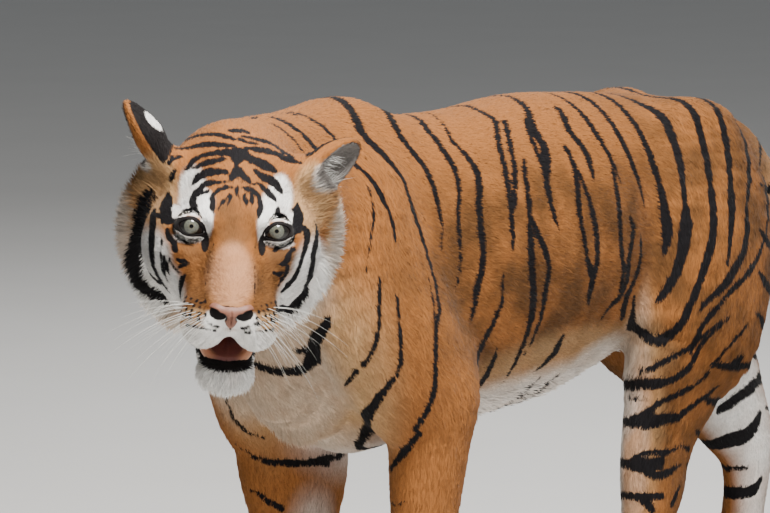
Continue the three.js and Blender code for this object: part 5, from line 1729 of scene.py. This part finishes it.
axes = [axis_points(SPACING[axis]) for axis in "xyz"]
vertices, quads = surface_net(skin_form, axes)
vertices = settle(skin_form, vertices, 1)
normals = corner_normals(vertices, quads)
centres = vertices[quads].mean(axis=1)
for side in (1, -1):
    seen = (centres - eye_centre(side)) @ lid_frame(side)
    over = (seen[:, 0] > 0) & (np.hypot(seen[:, 1], seen[:, 2]) < LID_HOLE)
    quads, centres = quads[~over], centres[~over]
lines = stripe_lines()
skin = add_mesh("skin", vertices, quads, coat_material("skin"), values=ground_at(vertices, normals, lines))

triangles = np.vstack([quads[:, [0, 1, 2]], quads[:, [0, 2, 3]]])
centres = vertices[triangles].mean(axis=1)
fur = fur_at(centres)
covered = np.ones(len(centres), bool)
for matrix, row in BARE:
    covered &= inside(centres, matrix, [row]) < 0.5
for side in (1, -1):
    eye = place((EYE_FORWARD, side * EYE_SPACING / 2, EYE_RISE), HEAD)
    covered &= np.linalg.norm(centres - eye, axis=1) > LID_SKIN + 0.0010
pieces = sort_out(centres)
extra = []
for side in (1, -1):
    points, faces, beyond, lower = lids(side)
    lid_normals = corner_normals(points, faces)
    values = ground_at(points, lid_normals, lines)
    values["pale"] = np.maximum(values["pale"], step(beyond, 0.0066, 0.0048) * lower)
    values["dark"] = step(beyond, 0.0004, -0.0004)
    values["mark"] = np.where(beyond < 0.0035, FARTHEST, values["mark"])
    add_mesh(f"lids_{'left' if side > 0 else 'right'}", points, faces, skin.data.materials[0], values=values)
    halves = np.vstack([faces[:, [0, 1, 2]], faces[:, [0, 2, 3]]])
    extra.append((points, lid_normals, halves[np.all(beyond[halves] > 0.0008, axis=1)]))
coat = coat_material("coat", along="along")
for number, name in enumerate(sorted(set(pieces))):
    rng = np.random.default_rng(SEED + number)
    mine = np.flatnonzero((pieces == name) & covered)
    density = 1.0 / (fur[mine, 4] ** 2)
    which, weights = sow(vertices, triangles[mine], density, rng)
    corners = triangles[mine][which]
    root = np.einsum("nc,ncd->nd", weights, vertices[corners])
    normal = unit(np.einsum("nc,ncd->nd", weights, normals[corners]))
    if name == "face":
        for points, lid_normals, halves in extra:
            which, weights = sow(points, halves, 1 / 0.0016**2, rng)
            root = np.vstack([root, np.einsum("nc,ncd->nd", weights, points[halves[which]])])
            normal = np.vstack([normal, unit(np.einsum("nc,ncd->nd", weights, lid_normals[halves[which]]))])
    if name in ("head", "face"):
        spot = unwrap_head(root)
    elif name.startswith("ear"):
        spot = unwrap_ear(root, name[4:])
    else:
        spot = unwrap_tube(root, name if "leg" in name else name.split("_")[0])
    root_fur = fur_at(root)
    is_long = root_fur[:, 1] > LONG
    for kind, chosen in (("short", ~is_long), ("long", is_long)):
        if not chosen.any():
            continue
        add_locks(f"coat_{name}_{kind}", root[chosen], normal[chosen], root_fur[chosen], lines,
                  fitted(spot)[chosen], coat, rng)

# ---------- eyes, nose, tongue, whiskers and claws, made ----------
eye_look = eye_material()
for name, side in (("eye_left", 1), ("eye_right", -1)):
    eyeball(name, side, eye_look)
for name, look, form, middle, half, spacing in (
    ("nose", leather_material(), nose_form, (0.130, 0, -0.062), 0.036, 0.0011),
    ("tongue", tongue_material(), tongue_form, (0.055, 0, -0.147), 0.066, 0.0018),
):
    points, faces = small_net(form, middle, half, spacing)
    if name == "nose":
        # depth into the nostrils, which the nose's material paints near black as painted shade
        holes = [ball(one, HEAD)(points) for row in (NOSTRIL, NOSTRIL_SLIT) for one in twins(row)]
        values = {"deep": np.min(holes, axis=0)}
    else:
        # the rim's pale pink, stronger towards the sides, is partly painted highlight
        sides = step(np.abs(local(points, HEAD)[:, 1]), 0.010, 0.024)
        values = {"lip_edge_and_highlight": step(gum_form(points), 0.0030, 0.0005) * (0.10 + 0.90 * sides)}
    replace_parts(add_mesh(name, points, faces, look, values=values), name)
white_hair = bristle_material("whisker", (0.62, 0.60, 0.56), (0.85, 0.84, 0.80))
for side in (1, -1):
    whiskers(side, white_hair)
for side in EAR_FRAMES:
    ear_hairs(side, white_hair)
horn = bristle_material("claw", (0.16, 0.12, 0.09), (0.42, 0.36, 0.29))
for name, paw in PAWS.items():
    claws("claws_" + name, paw_matrix(paw), horn)

# ---------- floor, light and camera ----------
def floor_material():
    s = Shader("floor", Roughness=0.7)
    s.colour(s.mix(s.noise(3, 4), (0.62, 0.61, 0.59), (0.66, 0.65, 0.63)))
    return s.material


def area_light(name, at, towards, size, power, colour=(1, 1, 1)):
    data = bpy.data.lights.new(name, "AREA")
    data.shape = "DISK"
    data.size = size
    data.energy = power
    data.color = colour
    light = bpy.data.objects.new(name, data)
    light.location = at
    light.rotation_euler = (Vector(towards) - Vector(at)).to_track_quat("-Z", "Y").to_euler()
    bpy.context.scene.collection.objects.link(light)
    return light


FLOOR_SIZE = 30
half = FLOOR_SIZE / 2
floor_mesh = bpy.data.meshes.new("floor")
floor_corners = [(-half, -half, 0), (half, -half, 0), (half, half, 0), (-half, half, 0)]
floor_mesh.from_pydata(floor_corners, [], [(0, 1, 2, 3)])
floor_mesh.materials.append(floor_material())
floor = bpy.data.objects.new("floor", floor_mesh)
bpy.context.scene.collection.objects.link(floor)
lights = [
    area_light("key", (1.5, 1.7, 4.3), (0.3, 0, 0.6), 1.6, 540, (1, 0.97, 0.93)),
    area_light("fill", (1.6, 5.2, 2.0), (0.2, 0, 0.5), 3.0, 38, (0.93, 0.96, 1)),
    area_light("back", (-3.2, -1.6, 3.2), (0, 0, 0.6), 2.4, 90),
]
world = bpy.data.worlds.new("studio")
world.use_nodes = True
world.node_tree.nodes["Background"].inputs["Color"].default_value = (0.80, 0.84, 0.88, 1)
world.node_tree.nodes["Background"].inputs["Strength"].default_value = 0.22
bpy.context.scene.world = world

CAMERA_AT = (6.384, 5.180, 1.621)
CAMERA_WAY = (-0.760, -0.638, -0.122)
CAMERA_LENS = 267.1
camera_data = bpy.data.cameras.new("camera")
camera_data.lens = CAMERA_LENS
camera_data.sensor_width = 36
camera_data.clip_end = 60
camera = bpy.data.objects.new("camera", camera_data)
camera.location = Vector(CAMERA_AT) + Vector(OFFSET)
camera.rotation_euler = Vector(CAMERA_WAY).to_track_quat("-Z", "Y").to_euler()
bpy.context.scene.collection.objects.link(camera)
bpy.context.scene.camera = camera

FLESH = ["head", "jaw", "neck", "trunk"]
FLESH += ["tail_base", "tail_middle", "tail_tip", "ear_left", "ear_right"]
FLESH += [f"{end}leg_{part}_{side}" for end in ("fore", "hind") for part in ("upper", "lower")
          for side in ("left", "right")]
FLESH += [f"{end}paw_{side}" for end in ("fore", "hind") for side in ("left", "right")]
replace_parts(skin, *FLESH)
